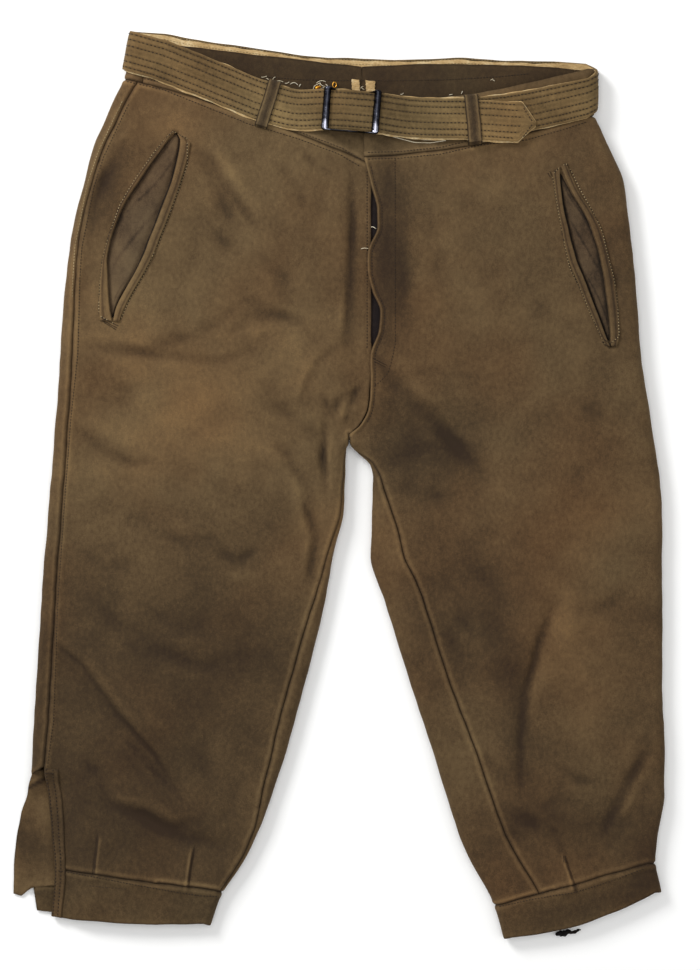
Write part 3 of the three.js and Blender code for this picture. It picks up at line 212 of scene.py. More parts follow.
FINE_UNDER = [
    ([(-250, 20), (-205, -4), (-150, 6)], 7, 1.3), ([(-252, -70), (-200, -96), (-130, -84)], 8, 1.4),
    ([(-262, -150), (-214, -190), (-160, -250)], 6, 1.5), ([(-60, 26), (-100, 10), (-140, 22)], 6, 1.2),
    ([(-20, 30), (-42, -20), (-46, -80)], 7, 1.3), ([(-200, 150), (-150, 120), (-80, 130)], 9, 1.1),
    ([(-190, 260), (-130, 240), (-60, 258)], 9, 1.0),
    ([(-140, -320), (-170, -290), (-176, -250)], 6, 1.2), ([(44, 20), (70, -20), (76, -80)], 7, 1.3),
    ([(60, 40), (110, 14), (170, 26)], 7, 1.3), ([(280, -60), (220, -84), (150, -70)], 8, 1.4),
    ([(286, -180), (240, -214), (190, -280)], 6, 1.5), ([(210, -340), (214, -300), (204, -260)], 6, 1.2),
    ([(60, 240), (130, 262), (200, 240)], 9, 1.0), ([(230, 140), (160, 112), (80, 130)], 9, 1.1),
    ([(120, -120), (150, -160), (152, -210)], 7, 1.2),
]
TONE_STRENGTH = 0.72
# Lighter (amount > 0) and darker suede: x, y, half length, half width, turn in degrees, amount.
TONES = [
    (-150, 60, 110, 80, 20, 0.22), (-190, 190, 50, 34, 70, 0.20), (-60, 120, 80, 60, 0, 0.10),
    (-60, 300, 90, 40, -15, 0.10), (43, 215, 14, 100, 0, -0.52), (62, 190, 9, 70, 0, -0.22),
    (12, 200, 6, 90, 0, -0.24), (60, 60, 46, 60, 20, -0.22), (96, 24, 50, 32, 25, -0.20),
    (110, -90, 60, 80, 0, -0.18), (-10, -30, 20, 70, 10, 0.16), (-24, -120, 20, 60, 15, 0.18),
    (-210, -230, 90, 130, 0, -0.22), (-90, -150, 60, 40, 0, -0.18), (-60, -260, 24, 90, -15, 0.10),
    (-250, -320, 40, 60, 0, -0.16), (-130, -330, 60, 24, -15, -0.14), (240, -60, 40, 60, 0, 0.10),
    (225, -190, 30, 110, 15, 0.14), (150, -150, 14, 80, 20, -0.16), (170, -250, 14, 60, 0, -0.20),
    (290, -350, 24, 40, 0, -0.32), (120, -280, 26, 70, -20, 0.14), (200, -315, 60, 16, 0, -0.16),
    (150, 330, 80, 20, -10, 0.04), (255, 220, 20, 60, 12, -0.14), (-205, 290, 12, 50, -20, -0.22),
    (-264, 200, 20, 40, 0, 0.12), (176, 318, 20, 16, 0, 0.14), (-170, 330, 40, 18, 0, 0.10),
    (-120, -380, 90, 16, -6, -0.08), (240, -390, 60, 14, 14, -0.16), (100, 140, 70, 50, 0, 0.06),
    (-70, 20, 50, 24, 30, 0.05), (46, -60, 12, 70, 14, 0.16), (60, -170, 16, 90, 18, 0.12),
    (-292, -340, 14, 60, 0, -0.14),
]

TOP_LAYER_OVER = 10        # every point of the top layer is higher than this
# Lines across each pocket: y, outer stitched edge, outer lip, inner lip, inner stitched edge.
POCKETS = {
    "right": [(323, -154.5, -149.2, -148.8, -137.5), (317.5, -160, -155.5, -146, -136.5),
              (302.5, -172, -167.5, -148, -138.5), (280.5, -188, -183, -153.5, -145),
              (256, -202, -198, -162, -152.5), (228.5, -212, -209, -173, -163.5),
              (204, -218.5, -214, -183, -174), (181, -221, -213, -195.5, -187),
              (158.5, -221.5, -211, -206.5, -199), (148.5, -220.5, -208.9, -208.5, -202.5)],
    "left": [(287, 212, 206.2, 205.8, 198), (280.5, 216.5, 209, 205.5, 199),
             (267.5, 224, 216.5, 207, 201), (249.5, 236, 228, 210, 204), (232, 244.5, 235.5, 214, 207.5),
             (209.5, 250.5, 242, 219.5, 212), (179, 257, 247.5, 231.5, 224),
             (156.5, 259.5, 250.5, 240, 233.5), (134.5, 261, 252.5, 248.5, 243.5),
             (125, 258.5, 252.7, 252.3, 248.5)],
}
UNDERLAP_EDGE = [(-266, -279), (-270, -283.5), (-277, -286), (-284, -288), (-291.5, -289.5),
                 (-308.5, -295.5), (-329.5, -299.5), (-353, -302), (-376, -303)]
UNDERLAP_END = [(-303, -384), (-295.5, -386.5), (-286, -378.5), (-269.5, -377.2), (-256, -377.2)]
UNDERLAP_INSIDE, UNDERLAP_START, UNDERLAP_LAST_ROW = -256, -268, -376
UNDERLAP_OVER, UNDERLAP_RISE = 2.1, 6.5

# The strap's middle line in plan: x, y and its level in thicknesses above the waistband.
BELT_FRONT = [(168, 332.5, 1), (120, 335.5, 1), (70.5, 336.5, 1), (36, 341.5, 1.1), (11, 343.5, 1.15),
              (-10, 345, 0.9), (-41, 345, 0.1), (-70.5, 353.5, 0), (-123.5, 374.5, 0), (-165, 391, 0)]
BELT_BACK = [(-165, 400, 0), (-128.5, 393, 0), (-82, 387, 0), (-35.5, 379.5, 0), (21.5, 376.5, 0),
             (76.5, 375.5, 0), (116, 377.5, 0), (150.5, 375, 0), (206.5, 373.5, 0)]
BELT_UNDER = [(203.5, 349, 0), (171, 342.5, 0), (123, 337.5, 0), (70.5, 337, 0), (46.5, 339.5, 0),
              (22, 342.5, 0)]
BELT_FOLDS = {  # x, y from, y to, axis in plan, outward sign
    "right": (-186.5, 397, 401.5, (0.184, 0.983), -1),
    "left": (230.9, 372, 355.5, (0.023, 0.9997), 1),
}
BELT_TIP = [(183, 331, 0.8, -2), (177, 331.6, 8.8, -8), (171, 332.4, 16.8, -14)]  # x, y, top and bottom edge
STRAP_FRONT_Z, STRAP_BACK_Z = 18.3, 3.5
BUCKLE_X, BUCKLE_Y, BUCKLE_TURN = 12.5, 343.2, -0.08
BUCKLE_SIZE, BUCKLE_BAR, BUCKLE_RAIL, BUCKLE_Z, BUCKLE_HEIGHT = (53.5, 41.2), 7, 1.8, 26.5, 3.4
BUCKLE_TUCK_IN, BUCKLE_TUCK_DOWN = 3.4, 6.4     # how far the frame's top rail goes under the strap
LOOPS = {  # top, bottom, width, height of its underside over the strap
    "right": ((-57.7, 371.5), (-71.8, 328), 12, 22.9),
    "left": ((122.5, 359), (127.5, 312.5), 13, 26.1),
}
LOOP_LEATHER, LOOP_FOOT, LOOP_RISE = 1.5, 1.9, 1.2
KNOT_CENTRE, KNOT_TURN = (211.5, -420.5, 4.4), 0.22
BACK_TABS = {
    "right": [(13, 374.5), (20.3, 373.8), (20.5, 362.5), (13.2, 361.8)],
    "left": [(26, 373.5), (35, 372.6), (34.2, 360.8), (26.4, 361.6)],
}


# ---------------------------------------------------------------- small helpers
def smoothstep(a, b, x):
    k = np.clip((np.asarray(x, float) - a) / (b - a), 0, 1)
    return k * k * (3 - 2 * k)


def bell(x, middle, width):
    """1 at the middle, falling off smoothly on both sides."""
    return np.exp(-(((x - middle) / width) ** 2))


def lerp(a, b, k):
    return a + (b - a) * k


def along(a, b, k):
    """The point a share k of the way from point a to point b."""
    return np.array(a, float) * (1 - k) + np.array(b, float) * k


def unit(vector):
    vector = np.asarray(vector, float)
    return vector / np.linalg.norm(vector, axis=-1, keepdims=True)


def hermite(k, a, b, from_a, to_b):
    """The cubic from a to b at a share k, with the given directions at both ends."""
    return ((2 * k**3 - 3 * k**2 + 1) * a + (k**3 - 2 * k**2 + k) * from_a
            + (3 * k**2 - 2 * k**3) * b + (k**3 - k**2) * to_b)


def lengths_along(points):
    """Length of a line up to each of its points."""
    steps = np.linalg.norm(np.diff(np.array(points, float), axis=0), axis=1)
    return np.concatenate([[0], np.cumsum(steps)])


def curve_through(rows):
    """Smooth monotone curve through (key, value) rows: a function of one number or an array."""
    keys, values = np.array(sorted(rows), float).T
    slope = np.diff(values) / np.diff(keys)
    tangent = np.empty(len(keys))
    tangent[0], tangent[-1] = slope[0], slope[-1]
    before, after = slope[:-1], slope[1:]
    total = np.where(before + after == 0, 1, before + after)
    tangent[1:-1] = np.where(before * after > 0, 2 * before * after / total, 0)

    def at(x):
        x = np.clip(x, keys[0], keys[-1])
        i = np.clip(np.searchsorted(keys, x, side="right") - 1, 0, len(keys) - 2)
        span = keys[i + 1] - keys[i]
        k = (x - keys[i]) / span
        return hermite(k, values[i], values[i + 1], span * tangent[i], span * tangent[i + 1])

    return at


outer_x = {side: curve_through(rows) for side, rows in OUTER.items()}
inner_x = {side: curve_through(rows) for side, rows in INNER.items()}
fly_x = {side: curve_through(rows) for side, rows in FLY.items()}
inseam_inset = {side: curve_through(rows) for side, rows in INSEAM_INSET.items()}
side_seam_inset = curve_through(SIDE_SEAM_INSET)
top_height, under_height, bulge_height = curve_through(TOP), curve_through(UNDER), curve_through(BULGE)


def metres(points):
    """Plan millimetres to the part's frame in metres."""
    points = np.asarray(points, float)
    return (points - (CENTRE_X, CENTRE_Y, 0)) / 1000


# ---------------------------------------------------------------- the garment's surface
def fold_normal(curve, y, outward):
    """Way out of a fold in plan, square to its curve."""
    slope = (curve(y + 2) - curve(y - 2)) / 4
    return unit((outward, -outward * slope))


def section_ends(side, v):
    """Plan ends of the cross section at v, before the folds' width is taken off."""
    outward = -1 if side == "right" else 1
    ends = torso_ends if v <= 1 else leg_ends
    return ends(side, v, outward, outward * SEAM_GAP / 2)


def torso_ends(side, v, outward, half_gap):
    """Ends from the waistband's top edge to the crotch."""
    e = ENDS[side]
    k, up = max(0, v), max(0, -v)
    inner_y = lerp(e.waist_inner, e.crotch_inner, k)
    outer_y = lerp(e.waist_outer, e.crotch_outer, k)
    waist = np.array((outer_x[side](e.waist_outer), e.waist_outer))
    top = np.array(e.top_outer)
    band = unit((outward * (top[1] - waist[1]), outward * (waist[0] - top[0])))
    blend = float(smoothstep(0.02, 0.12, v))
    back = (lerp(BACK_SEAM_WAIST, BACK_SEAM_CROTCH, k) + half_gap, lerp(e.waist_back, e.crotch_inner, k))
    return SimpleNamespace(
        inner=along((fly_x[side](inner_y), inner_y), e.top_inner, up),
        outer=along((outer_x[side](outer_y), outer_y), e.top_outer, up),
        back=along(back, e.top_back, up), inner_normal=np.array((0, -1.0)),
        outer_normal=unit(along(band, fold_normal(outer_x[side], outer_y, outward), blend)),
        bow=lerp(lerp(e.waist_bow, 0, float(smoothstep(0, 0.5, v))), e.top_bow, up),
        back_bow=e.back_bow * up)


def leg_ends(side, v, outward, half_gap):
    """Ends from the crotch to the hem."""
    e = ENDS[side]
    k, down = min(1, v - 1), max(0, v - 2)
    inner_y = lerp(35, e.cuff_inner[1], k)
    outer_y = lerp(e.crotch_outer, e.cuff_outer, k)
    turn = float(smoothstep(1, 1.03, v))
    normal = fold_normal(inner_x[side], inner_y, -outward)
    inner = along((inner_x[side](inner_y), inner_y), e.hem_inner, down)
    if v < 1.1:
        inner[0] += half_gap * (1 - turn)
    return SimpleNamespace(
        inner=inner, outer=along((outer_x[side](outer_y), outer_y), e.hem_outer, down), back=None,
        inner_normal=unit((normal[0] * turn, lerp(-1, normal[1], turn))),
        outer_normal=fold_normal(outer_x[side], outer_y, outward),
        bow=e.hem_bow * down, back_bow=e.hem_bow * down)


def section(side, v):
    """The cross section at v: where its folds turn in plan, their reach, and its heights."""
    cut = section_ends(side, v)
    cut.v, cut.side = v, side
    cut.top, cut.under = float(top_height(v)), float(under_height(v))
    cut.bulge = float(bulge_height(v))
    cut.reach = (cut.top - cut.under) / 2
    cut.outer = cut.outer - cut.outer_normal * cut.reach
    if v > 1:
        cut.inner = cut.inner - cut.inner_normal * cut.reach
        cut.back = cut.inner
    cut.width = float(np.linalg.norm(cut.outer - cut.inner))
    cut.under_outer = cut.outer
    if side == "right" and v > VENT_OPEN:
        cut.under_outer = cut.outer - (0, float(smoothstep(VENT_OPEN, 2, v)) * VENT_BACK_DROP)
        if v > 2:
            cut.under_outer = along(ENDS[side].cuff_under, ENDS[side].hem_under, v - 2)
    return cut


def crease_relief(side, x, y):
    """Height that the large creases and the tucks add, as in the part's solids."""
    height = np.zeros_like(x)
    for start, end, width, depth in CREASES:
        off, k, _ = beside(start, end, x, y)
        ends = smoothstep(-0.15, 0.2, k) * (1 - smoothstep(0.8, 1.15, k))
        height -= depth * ends * bell(off, 0, width)
    for start, end, over in TUCKS[side]:
        off, k, _ = beside(start, end, x, y)
        across = off * over
        folded = smoothstep(-1.2, 0, across) * (1 - smoothstep(TUCK_WIDTH * 0.6, TUCK_WIDTH * 2, across))
        height += TUCK_RISE * folded * smoothstep(-0.3, 0.3, k) * (1 - smoothstep(1.02, 1.25, k))
    return height


def beside(start, end, x, y):
    """Signed distance of points to a line, how far along it they are (0..1), and its length."""
    dx, dy = end[0] - start[0], end[1] - start[1]
    length = math.hypot(dx, dy)
    px, py = x - start[0], y - start[1]
    return (dx * py - dy * px) / length, (dx * px + dy * py) / length**2, length


def top_z(cut, s, x, y):
    """Height of the top layer's outside, a share s of the way from the inner edge to the fold."""
    torso = 1 - float(smoothstep(0.85, 1.15, cut.v))
    on_torso = (1 - s * s) ** 2 * (1 - float(smoothstep(0.85, 1, cut.v)))
    bulge = cut.bulge * lerp(np.sin(np.pi * s) ** 2, on_torso, torso)
    from_outer, from_inner = (1 - s) * cut.width, s * cut.width
    inner = lerp(smoothstep(0, 18, from_inner), 1, torso)
    z = cut.top + bulge + crease_relief(cut.side, x, y) * smoothstep(0, 18, from_outer) * inner
    if cut.side == "right":
        dip = FLY_DIP_BAND if cut.v < 0 else FLY_DIP_FRONT
        z -= dip * (1 - smoothstep(12, 34, from_inner)) * (1 - float(smoothstep(0.86, 0.93, cut.v)))
        edge = cut.width - np.maximum(0, side_seam_inset(y) - cut.reach)
        drop = 1 - smoothstep(0, VENT_FALL, edge - from_inner)
        z = lerp(z, VENT_EDGE_HEIGHT, drop * float(smoothstep(VENT_TOP, VENT_OPEN, cut.v)))
    return z


def surface_row(cut, q):
    """Points of the garment's outside on one cross section."""
    q = np.mod(np.asarray(q, float), 4)
    points = np.zeros((len(q), 3))
    middle = (cut.top + cut.under) / 2
    top, outer, under = q <= 1, (q > 1) & (q < 2), (q >= 2) & (q <= 3)
    s = q[top]
    points[top, :2] = cut.inner * (1 - s[:, None]) + cut.outer * s[:, None]
    points[top, 1] += 4 * cut.bow * s * (1 - s)
    points[top, 2] = top_z(cut, s, points[top, 0], points[top, 1])
    for mask, end, normal, start, sign in ((outer, cut.outer, cut.outer_normal, 1, 1),
                                           (q > 3, cut.inner, cut.inner_normal, 3, -1)):
        angle = np.pi * (q[mask] - start)
        points[mask, :2] = end + normal * (cut.reach * np.sin(angle))[:, None]
        points[mask, 2] = middle + sign * cut.reach * np.cos(angle)
    s = q[under] - 2
    points[under, :2] = cut.under_outer * (1 - s[:, None]) + cut.back * s[:, None]
    points[under, 1] += 4 * cut.back_bow * s * (1 - s)
    points[under, 2] = cut.under
    return points


def shift(cut, q, distance):
    """q moved by a distance, across a layer or round a fold."""
    on_fold = q < 0 or 1 < q < 2 or 3 < q < 4
    return q + distance / (math.pi * cut.reach if on_fold else cut.width)


def seam_at(cut, inset, at_outer):
    """q of a seam on the upper side of a fold, from its distance in from the fold's widest point."""
    if inset >= cut.reach:
        share = (inset - cut.reach) / cut.width
        return 1 - share if at_outer else share
    turn = math.asin((cut.reach - inset) / cut.reach) / math.pi
    return 1 + turn if at_outer else -turn


def right_side_seam(cut):
    return seam_at(cut, float(side_seam_inset(cut.outer[1])), True)


def inseam(side, cut):
    return seam_at(cut, float(inseam_inset[side](cut.inner[1])), False)


# ---------------------------------------------------------------- sheets and shells
NEAR_SEAM = np.array([0, 0.5, 1.0, 1.6, 2.3, 3.1, 4, 5.2, 7, 9.5])   # columns beside a seam, in mm


def spread(start, end, scale, count, close=(True, True)):
    """q of a row's columns from start to end, close together beside a seam. scale is mm for a q of 1."""
    length = (end - start) * scale
    near = NEAR_SEAM * min(1, 0.3 * length / NEAR_SEAM[-1]) / scale
    first = start + near if close[0] else np.array([start])
    last = end - near[::-1] if close[1] else np.array([end])
    return np.concatenate([first, np.linspace(first[-1], last[0], count + 2)[1:-1], last])


def stations(start, end, length):
    """Stations v of a panel's rows, close together beside the seams at its ends."""
    count = max(2, int(length / GRID))
    return spread(start, end, length / (end - start), count)


def block(side, rows, columns):
    """Points, and (v, q) of each, for the places q that columns(cut) gives on every row."""
    points, places = [], []
    for v in rows:
        cut = section(side, float(v))
        q = np.asarray(columns(cut), float)
        points.append(surface_row(cut, q))
        places.append(np.column_stack([np.full(len(q), v), q]))
    return np.array(points), np.array(places)


def weld(blocks, flip):
    """One sheet from blocks of rows of points: its points, their places, its quads and its own tint."""
    known, points, places, quads = {}, [], [], []
    for block_points, block_places in blocks:
        rows, columns = block_points.shape[:2]
        ids = np.empty((rows, columns), int)
        for r in range(rows):
            for c in range(columns):
                key = tuple(np.round(block_points[r, c], 3))
                if key not in known:
                    known[key] = len(points)
                    points.append(block_points[r, c])
                    places.append(block_places[r, c])
                ids[r, c] = known[key]
        quad = np.stack([ids[:-1, :-1], ids[1:, :-1], ids[1:, 1:], ids[:-1, 1:]], -1).reshape(-1, 4)
        quads.append(quad[:, ::-1] if flip else quad)
    return SimpleNamespace(points=np.array(points), places=np.array(places), quads=np.concatenate(quads),
                           tint=0)


def grid_sheet(points, tint=0, facing=(0, 0, 1)):
    """A sheet from rows of points, with a tint for each. Its outside faces one way, or one for each point."""
    places = np.zeros(points.shape[:2] + (2,))
    places[..., 0] = tint
    sheet = weld([(points, places)], False)
    if (normals_of(sheet.points, sheet.quads) * facing).sum() < 0:
        sheet.quads = sheet.quads[:, ::-1]
    sheet.tint = sheet.places[:, 0]
    return sheet


def normals_of(points, quads):
    """Unit normals at a sheet's points."""
    a, b = points[quads[:, 2]] - points[quads[:, 0]], points[quads[:, 3]] - points[quads[:, 1]]
    face = np.cross(a, b)
    normal = np.zeros_like(points)
    for corner in range(4):
        np.add.at(normal, quads[:, corner], face)
    length = np.linalg.norm(normal, axis=1, keepdims=True)
    return normal / np.where(length == 0, 1, length)


def boundary_edges(quads):
    """Edges that belong to one quad only, as (start, end) in that quad's direction."""
    edges = {}
    for quad in quads.tolist():
        for k in range(4):
            start, end = quad[k], quad[(k + 1) % 4]
            if edges.pop((end, start), None) is None:
                edges[(start, end)] = True
    return list(edges)


def rim_of(quads):
    """Numbers of the points on a sheet's edges and on the edges of its openings."""
    return np.array(sorted({i for edge in boundary_edges(quads) for i in edge}))


def distance_to(points, line):
    """Distance of each point to the nearest of a line's points."""
    if len(line) == 0:
        return np.full(len(points), 99.0)
    best = np.full(len(points), np.inf)
    for start in range(0, len(line), 64):
        gap = points[:, None, :] - line[None, start:start + 64, :]
        best = np.minimum(best, np.sqrt((gap**2).sum(-1)).min(1))
    return best


def polyline_relief(x, y, lines):
    """Uneven soft troughs along polylines in plan. Returns the height that they take away."""
    depth = np.zeros_like(x)
    for number, (points, width, amount) in enumerate(lines):
        total = len(points) - 1
        best, place = np.full(len(x), np.inf), np.zeros(len(x))
        for i, (start, end) in enumerate(zip(points, points[1:])):
            off, k, length = beside(start, end, x, y)
            inside = np.clip(k, 0, 1)
            gap = np.hypot(off, (k - inside) * length)
            nearer = gap < best
            best, place = np.where(nearer, gap, best), np.where(nearer, (i + inside) / total, place)
        fade = np.sin(np.pi * np.clip(place, 0.02, 0.98)) ** 0.7
        uneven = 1 + 0.35 * np.sin(place * 11 + number * 1.7)
        depth += amount * fade * uneven * bell(best, 0, width * (0.8 + 0.3 * fade))
    return depth


def rumple(points, scale, seed):
    """Smooth noise from -1 to 1 at each point; scale is the size of its waves in mm."""
    offset = Vector((seed * 13.7, seed * 5.1, seed * 7.9))
    return np.array([noise.noise(Vector(p) / scale + offset) for p in points])


def seam_profile(d):
    """A seam's roll: down into the seam and up over the turned allowance beside it."""
    return 0.5 * bell(d, 3.2, 2.0) - 0.75 * bell(d, 0, 0.8)


def plain_edge(d):
    """A rounded edge with no seam."""
    return -0.35 * bell(d, 0, 0.7)


def bead_profile(d):
    """The rolled edge of the fly."""
    return bell(d, 1.4, 1.1) - 0.5 * bell(d, 0, 0.5) - 0.5 * bell(d, 4, 1.3)


def tone_at(points):
    """Shade of the suede at each point, 0.5 being plain."""
    x, y = points[:, 0], points[:, 1]
    tone = np.full(len(x), 0.5)
    for cx, cy, long, wide, turn, amount in TONES:
        angle = math.radians(turn)
        u = ((x - cx) * math.cos(angle) + (y - cy) * math.sin(angle)) / long
        w = (-(x - cx) * math.sin(angle) + (y - cy) * math.cos(angle)) / wide
        tone += TONE_STRENGTH * amount * np.exp(-(u * u + w * w))
    return tone + 0.05 * (smoothstep(-250, 100, y) * 2 - 1)


def tuck_painted_shade(x, y):
    """Painted shade and highlight at each tuck's folded edge: a dark line with a pale ridge beside it."""
    tone = np.zeros_like(x)
    for start, end, over in TUCKS["right"] + TUCKS["left"]:
        off, k, _ = beside(start, end, x, y)
        across = off * over
        fade = smoothstep(-0.1, 0.2, k) * (1 - smoothstep(1, 1.2, k))
        tone += fade * (0.3 * bell(across, 1.9, 1.3) - 0.6 * bell(across, -0.7, 0.9))
    return tone


def crease_network(points):
    """Fine creases where two fields of noise pass through zero, in patches: 0 for none, to about 1."""
    patches = smoothstep(-0.15, 0.35, rumple(points, 95, 4))
    return patches * (bell(rumple(points, 30, 3), 0, 0.07) + 0.6 * bell(rumple(points, 17, 5), 0, 0.08))


def fine_relief(sheet, normal):
    """Height along the normals that the soft creases and rumples add, and the painted shade and highlights
    that go with them.
    """
    points = sheet.points
    up = np.clip(normal[:, 2], 0, 1) ** 2
    down = np.clip(-normal[:, 2], 0, 1) ** 2
    trough = polyline_relief(points[:, 0], points[:, 1], FINE_TOP) * up
    below = polyline_relief(points[:, 0], points[:, 1], FINE_UNDER) * down
    waves = 0.45 * rumple(points, 38, 1) + 0.16 * rumple(points, 13, 2)
    height = -trough - below + waves * up * 0.9 - np.abs(waves) * 0.5 * down
    lines = crease_network(points) * (up + 0.5 * down)
    height = height - 0.38 * lines
    # The tucks' painted shade and highlight, which also lower and raise the surface there.
    tuck_relief_and_shade = tuck_painted_shade(points[:, 0], points[:, 1]) * up
    # Painted shade, darker in the troughs and fine creases; painted highlight, lighter on the rumples' rises.
    return height + 1.2 * tuck_relief_and_shade, -0.115 * (trough + below) + 0.08 * waves - 0.03 * lines + tuck_relief_and_shade


def wander(points):
    """Small unevenness in plan, the same for all that lies at a place."""
    x, y = points[:, 0], points[:, 1]
    across = 0.22 * np.sin(y / 13 + 1.7 * np.sin(y / 53)) + 0.14 * np.sin(y / 4.7 + 1.3 * np.sin(y / 17))
    along_leg = 0.25 * np.sin(x / 12 + 1.5 * np.sin(x / 41)) + 0.15 * np.sin(x / 5.3 + 1.2 * np.sin(x / 23))
    return np.stack([across, along_leg, np.zeros(len(x))], -1)


def finish_sheet(sheet, edges, thickness, still=False):
    """Moves a sheet's points by its seams, creases and rumples. Returns outside, inside and tone."""
    normal = normals_of(sheet.points, sheet.quads)
    rim = rim_of(sheet.quads)
    rim_points, rim_places = sheet.points[rim], sheet.places[rim]
    height, tone = (0, 0) if still else fine_relief(sheet, normal)
    height = np.zeros(len(sheet.points)) + height
    tone = tone_at(sheet.points) + tone + sheet.tint
    for chosen, profile in edges:
        distance = distance_to(sheet.points, rim_points[chosen(rim_places[:, 0], rim_places[:, 1])])
        moved = profile(distance)
        height = height * smoothstep(0, 9, distance) + moved
        # Painted shade in each seam's and edge's hollow, and painted highlight on the roll beside it.
        tone = tone + 0.26 * np.clip(moved, -1, 1) + 0.05 * bell(distance, 3, 1.6)
    outside = sheet.points + normal * height[:, None]
    lowest = sheet.points[:, 2].min()
    outside[:, 2] = np.maximum(outside[:, 2], lowest)
    inside = sheet.points + normal * (np.minimum(0, height) - thickness)[:, None]
    return outside + wander(outside), inside + wander(outside), tone


def make_mesh(name, points, faces, material, tone=None):
    """A smooth piece from plan millimetres, with a shade for each point, riding on the part's one body."""
    mesh = bpy.data.meshes.new(name)
    mesh.from_pydata(metres(points).tolist(), [], [list(map(int, face)) for face in faces])
    mesh.materials.append(material)
    mesh.polygons.foreach_set("use_smooth", [True] * len(mesh.polygons))
    if tone is not None:
        mesh.attributes.new("tone", "FLOAT", "POINT").data.foreach_set("value", np.asarray(tone, float))
    mesh.update()
    obj = bpy.data.objects.new(name, mesh)
    bpy.context.scene.collection.objects.link(obj)
    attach(obj, "root")
    return obj


TREES = {}        # outside and inside of each shell in plan millimetres, for laying stitches on it


def shell(name, sheet, edges, material, thickness, slot="suede", still=False, inner_tone=0):
    """A closed thin shell on a sheet, which stands for the CAD node of that name."""
    outside, inside, tone = finish_sheet(sheet, edges, thickness, still)
    count = len(outside)
    turned = sheet.quads[:, ::-1]
    faces = sheet.quads.tolist() + (turned + count).tolist()
    faces += [[b, a, a + count, b + count] for a, b in boundary_edges(sheet.quads)]
    # The inside's tone is lowered: painted shade on the faces that look inward.
    obj = make_mesh(f"{name}_leather", np.vstack([outside, inside]), faces, material,
                    np.concatenate([tone, tone + inner_tone]))
    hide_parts(name)
    TREES[name] = BVHTree.FromPolygons(outside.tolist(), sheet.quads.tolist())
    TREES[f"{name}_inside"] = BVHTree.FromPolygons(inside.tolist(), turned.tolist())


def moved_out(grid, distance):
    """A block of points moved out along its surface's normals."""
    points, places = grid
    along_row = np.gradient(points, axis=1)
    along_column = np.gradient(points, axis=0)
    normal = unit(np.cross(along_column, along_row))
    if np.median(normal[..., 2]) < 0:
        normal = -normal
    return points + normal * distance, places


# ---------------------------------------------------------------- materials
def linear(colour):
    """sRGB hex colour to linear RGBA."""
    parts = [int(colour[i:i + 2], 16) / 255 for i in (1, 3, 5)]
    return [c / 12.92 if c <= 0.04045 else ((c + 0.055) / 1.055) ** 2.4 for c in parts] + [1]


class Nodes:
    """Short calls for building one material's node tree."""

    def __init__(self, name):
        self.material = bpy.data.materials.new(name)
        self.material.use_nodes = True
        self.tree = self.material.node_tree
        self.shader = next(n for n in self.tree.nodes if n.type == "BSDF_PRINCIPLED")
        self.coords = self.tree.nodes.new("ShaderNodeTexCoord").outputs["Object"]

    def link(self, output, socket):
        self.tree.links.new(output, socket)

    def noise(self, scale, detail=3, stretch=(1, 1, 1)):
        """Noise with this many waves in a metre."""
        mapping = self.tree.nodes.new("ShaderNodeMapping")
        mapping.inputs["Scale"].default_value = stretch
        node = self.tree.nodes.new("ShaderNodeTexNoise")
        node.inputs["Scale"].default_value = scale
        node.inputs["Detail"].default_value = detail
        self.link(self.coords, mapping.inputs["Vector"])
        self.link(mapping.outputs[0], node.inputs["Vector"])
        return node.outputs["Fac"]

    def attribute(self, name):
        node = self.tree.nodes.new("ShaderNodeAttribute")
        node.attribute_name = name
        return node.outputs["Fac"]

    def math(self, operation, a, b):
        """One math node on two outputs or numbers."""
        node = self.tree.nodes.new("ShaderNodeMath")
        node.operation = operation
        for socket, value in zip(node.inputs, (a, b)):
            if isinstance(value, (int, float)):
                socket.default_value = value
            else:
                self.link(value, socket)
        return node.outputs[0]

    def varied(self, start, parts):
        """start plus each (texture, amount), a texture adding nothing at its middle."""
        total = start
        for texture, amount in parts:
            share = self.math("MULTIPLY", self.math("SUBTRACT", texture, 0.5), amount)
            total = self.math("ADD", total, share)
        return total

    def ramp(self, factor, stops):
        """The colour at a factor, from (place, colour) stops."""
        stops = list(stops)
        node = self.tree.nodes.new("ShaderNodeValToRGB")
        elements = node.color_ramp.elements
        while len(elements) < len(stops):
            elements.new(0.5)
        for element, (place, colour) in zip(elements, stops):
            element.position = place
            element.color = linear(colour)
        self.link(factor, node.inputs["Fac"])
        return node.outputs["Color"]

    def warmed(self, colour, texture):
        """The colour, redder where the texture is high."""
        node = self.tree.nodes.new("ShaderNodeMix")
        node.data_type, node.blend_type = "RGBA", "MULTIPLY"
        amount = self.math("MULTIPLY", self.math("SUBTRACT", texture, 0.42), 3.2)
        amount.node.use_clamp = True
        self.link(amount, node.inputs[0])
        self.link(colour, node.inputs[6])
        node.inputs[7].default_value = (1.04, 0.9, 0.82, 1)
        return node.outputs[2]

    def bump(self, layers):
        """Chained bumps: (texture, depth in mm, strength)."""
        normal = None
        for texture, depth, strength in layers:
            node = self.tree.nodes.new("ShaderNodeBump")
            node.inputs["Distance"].default_value = depth / 1000
            node.inputs["Strength"].default_value = strength
            self.link(texture, node.inputs["Height"])
            if normal:
                self.link(normal, node.inputs["Normal"])
            normal = node.outputs["Normal"]
        self.link(normal, self.shader.inputs["Normal"])

    def colour(self, output):
        self.link(output, self.shader.inputs["Base Color"])

    def set(self, **values):
        for name, value in values.items():
            self.shader.inputs[name.replace("_", " ")].default_value = value


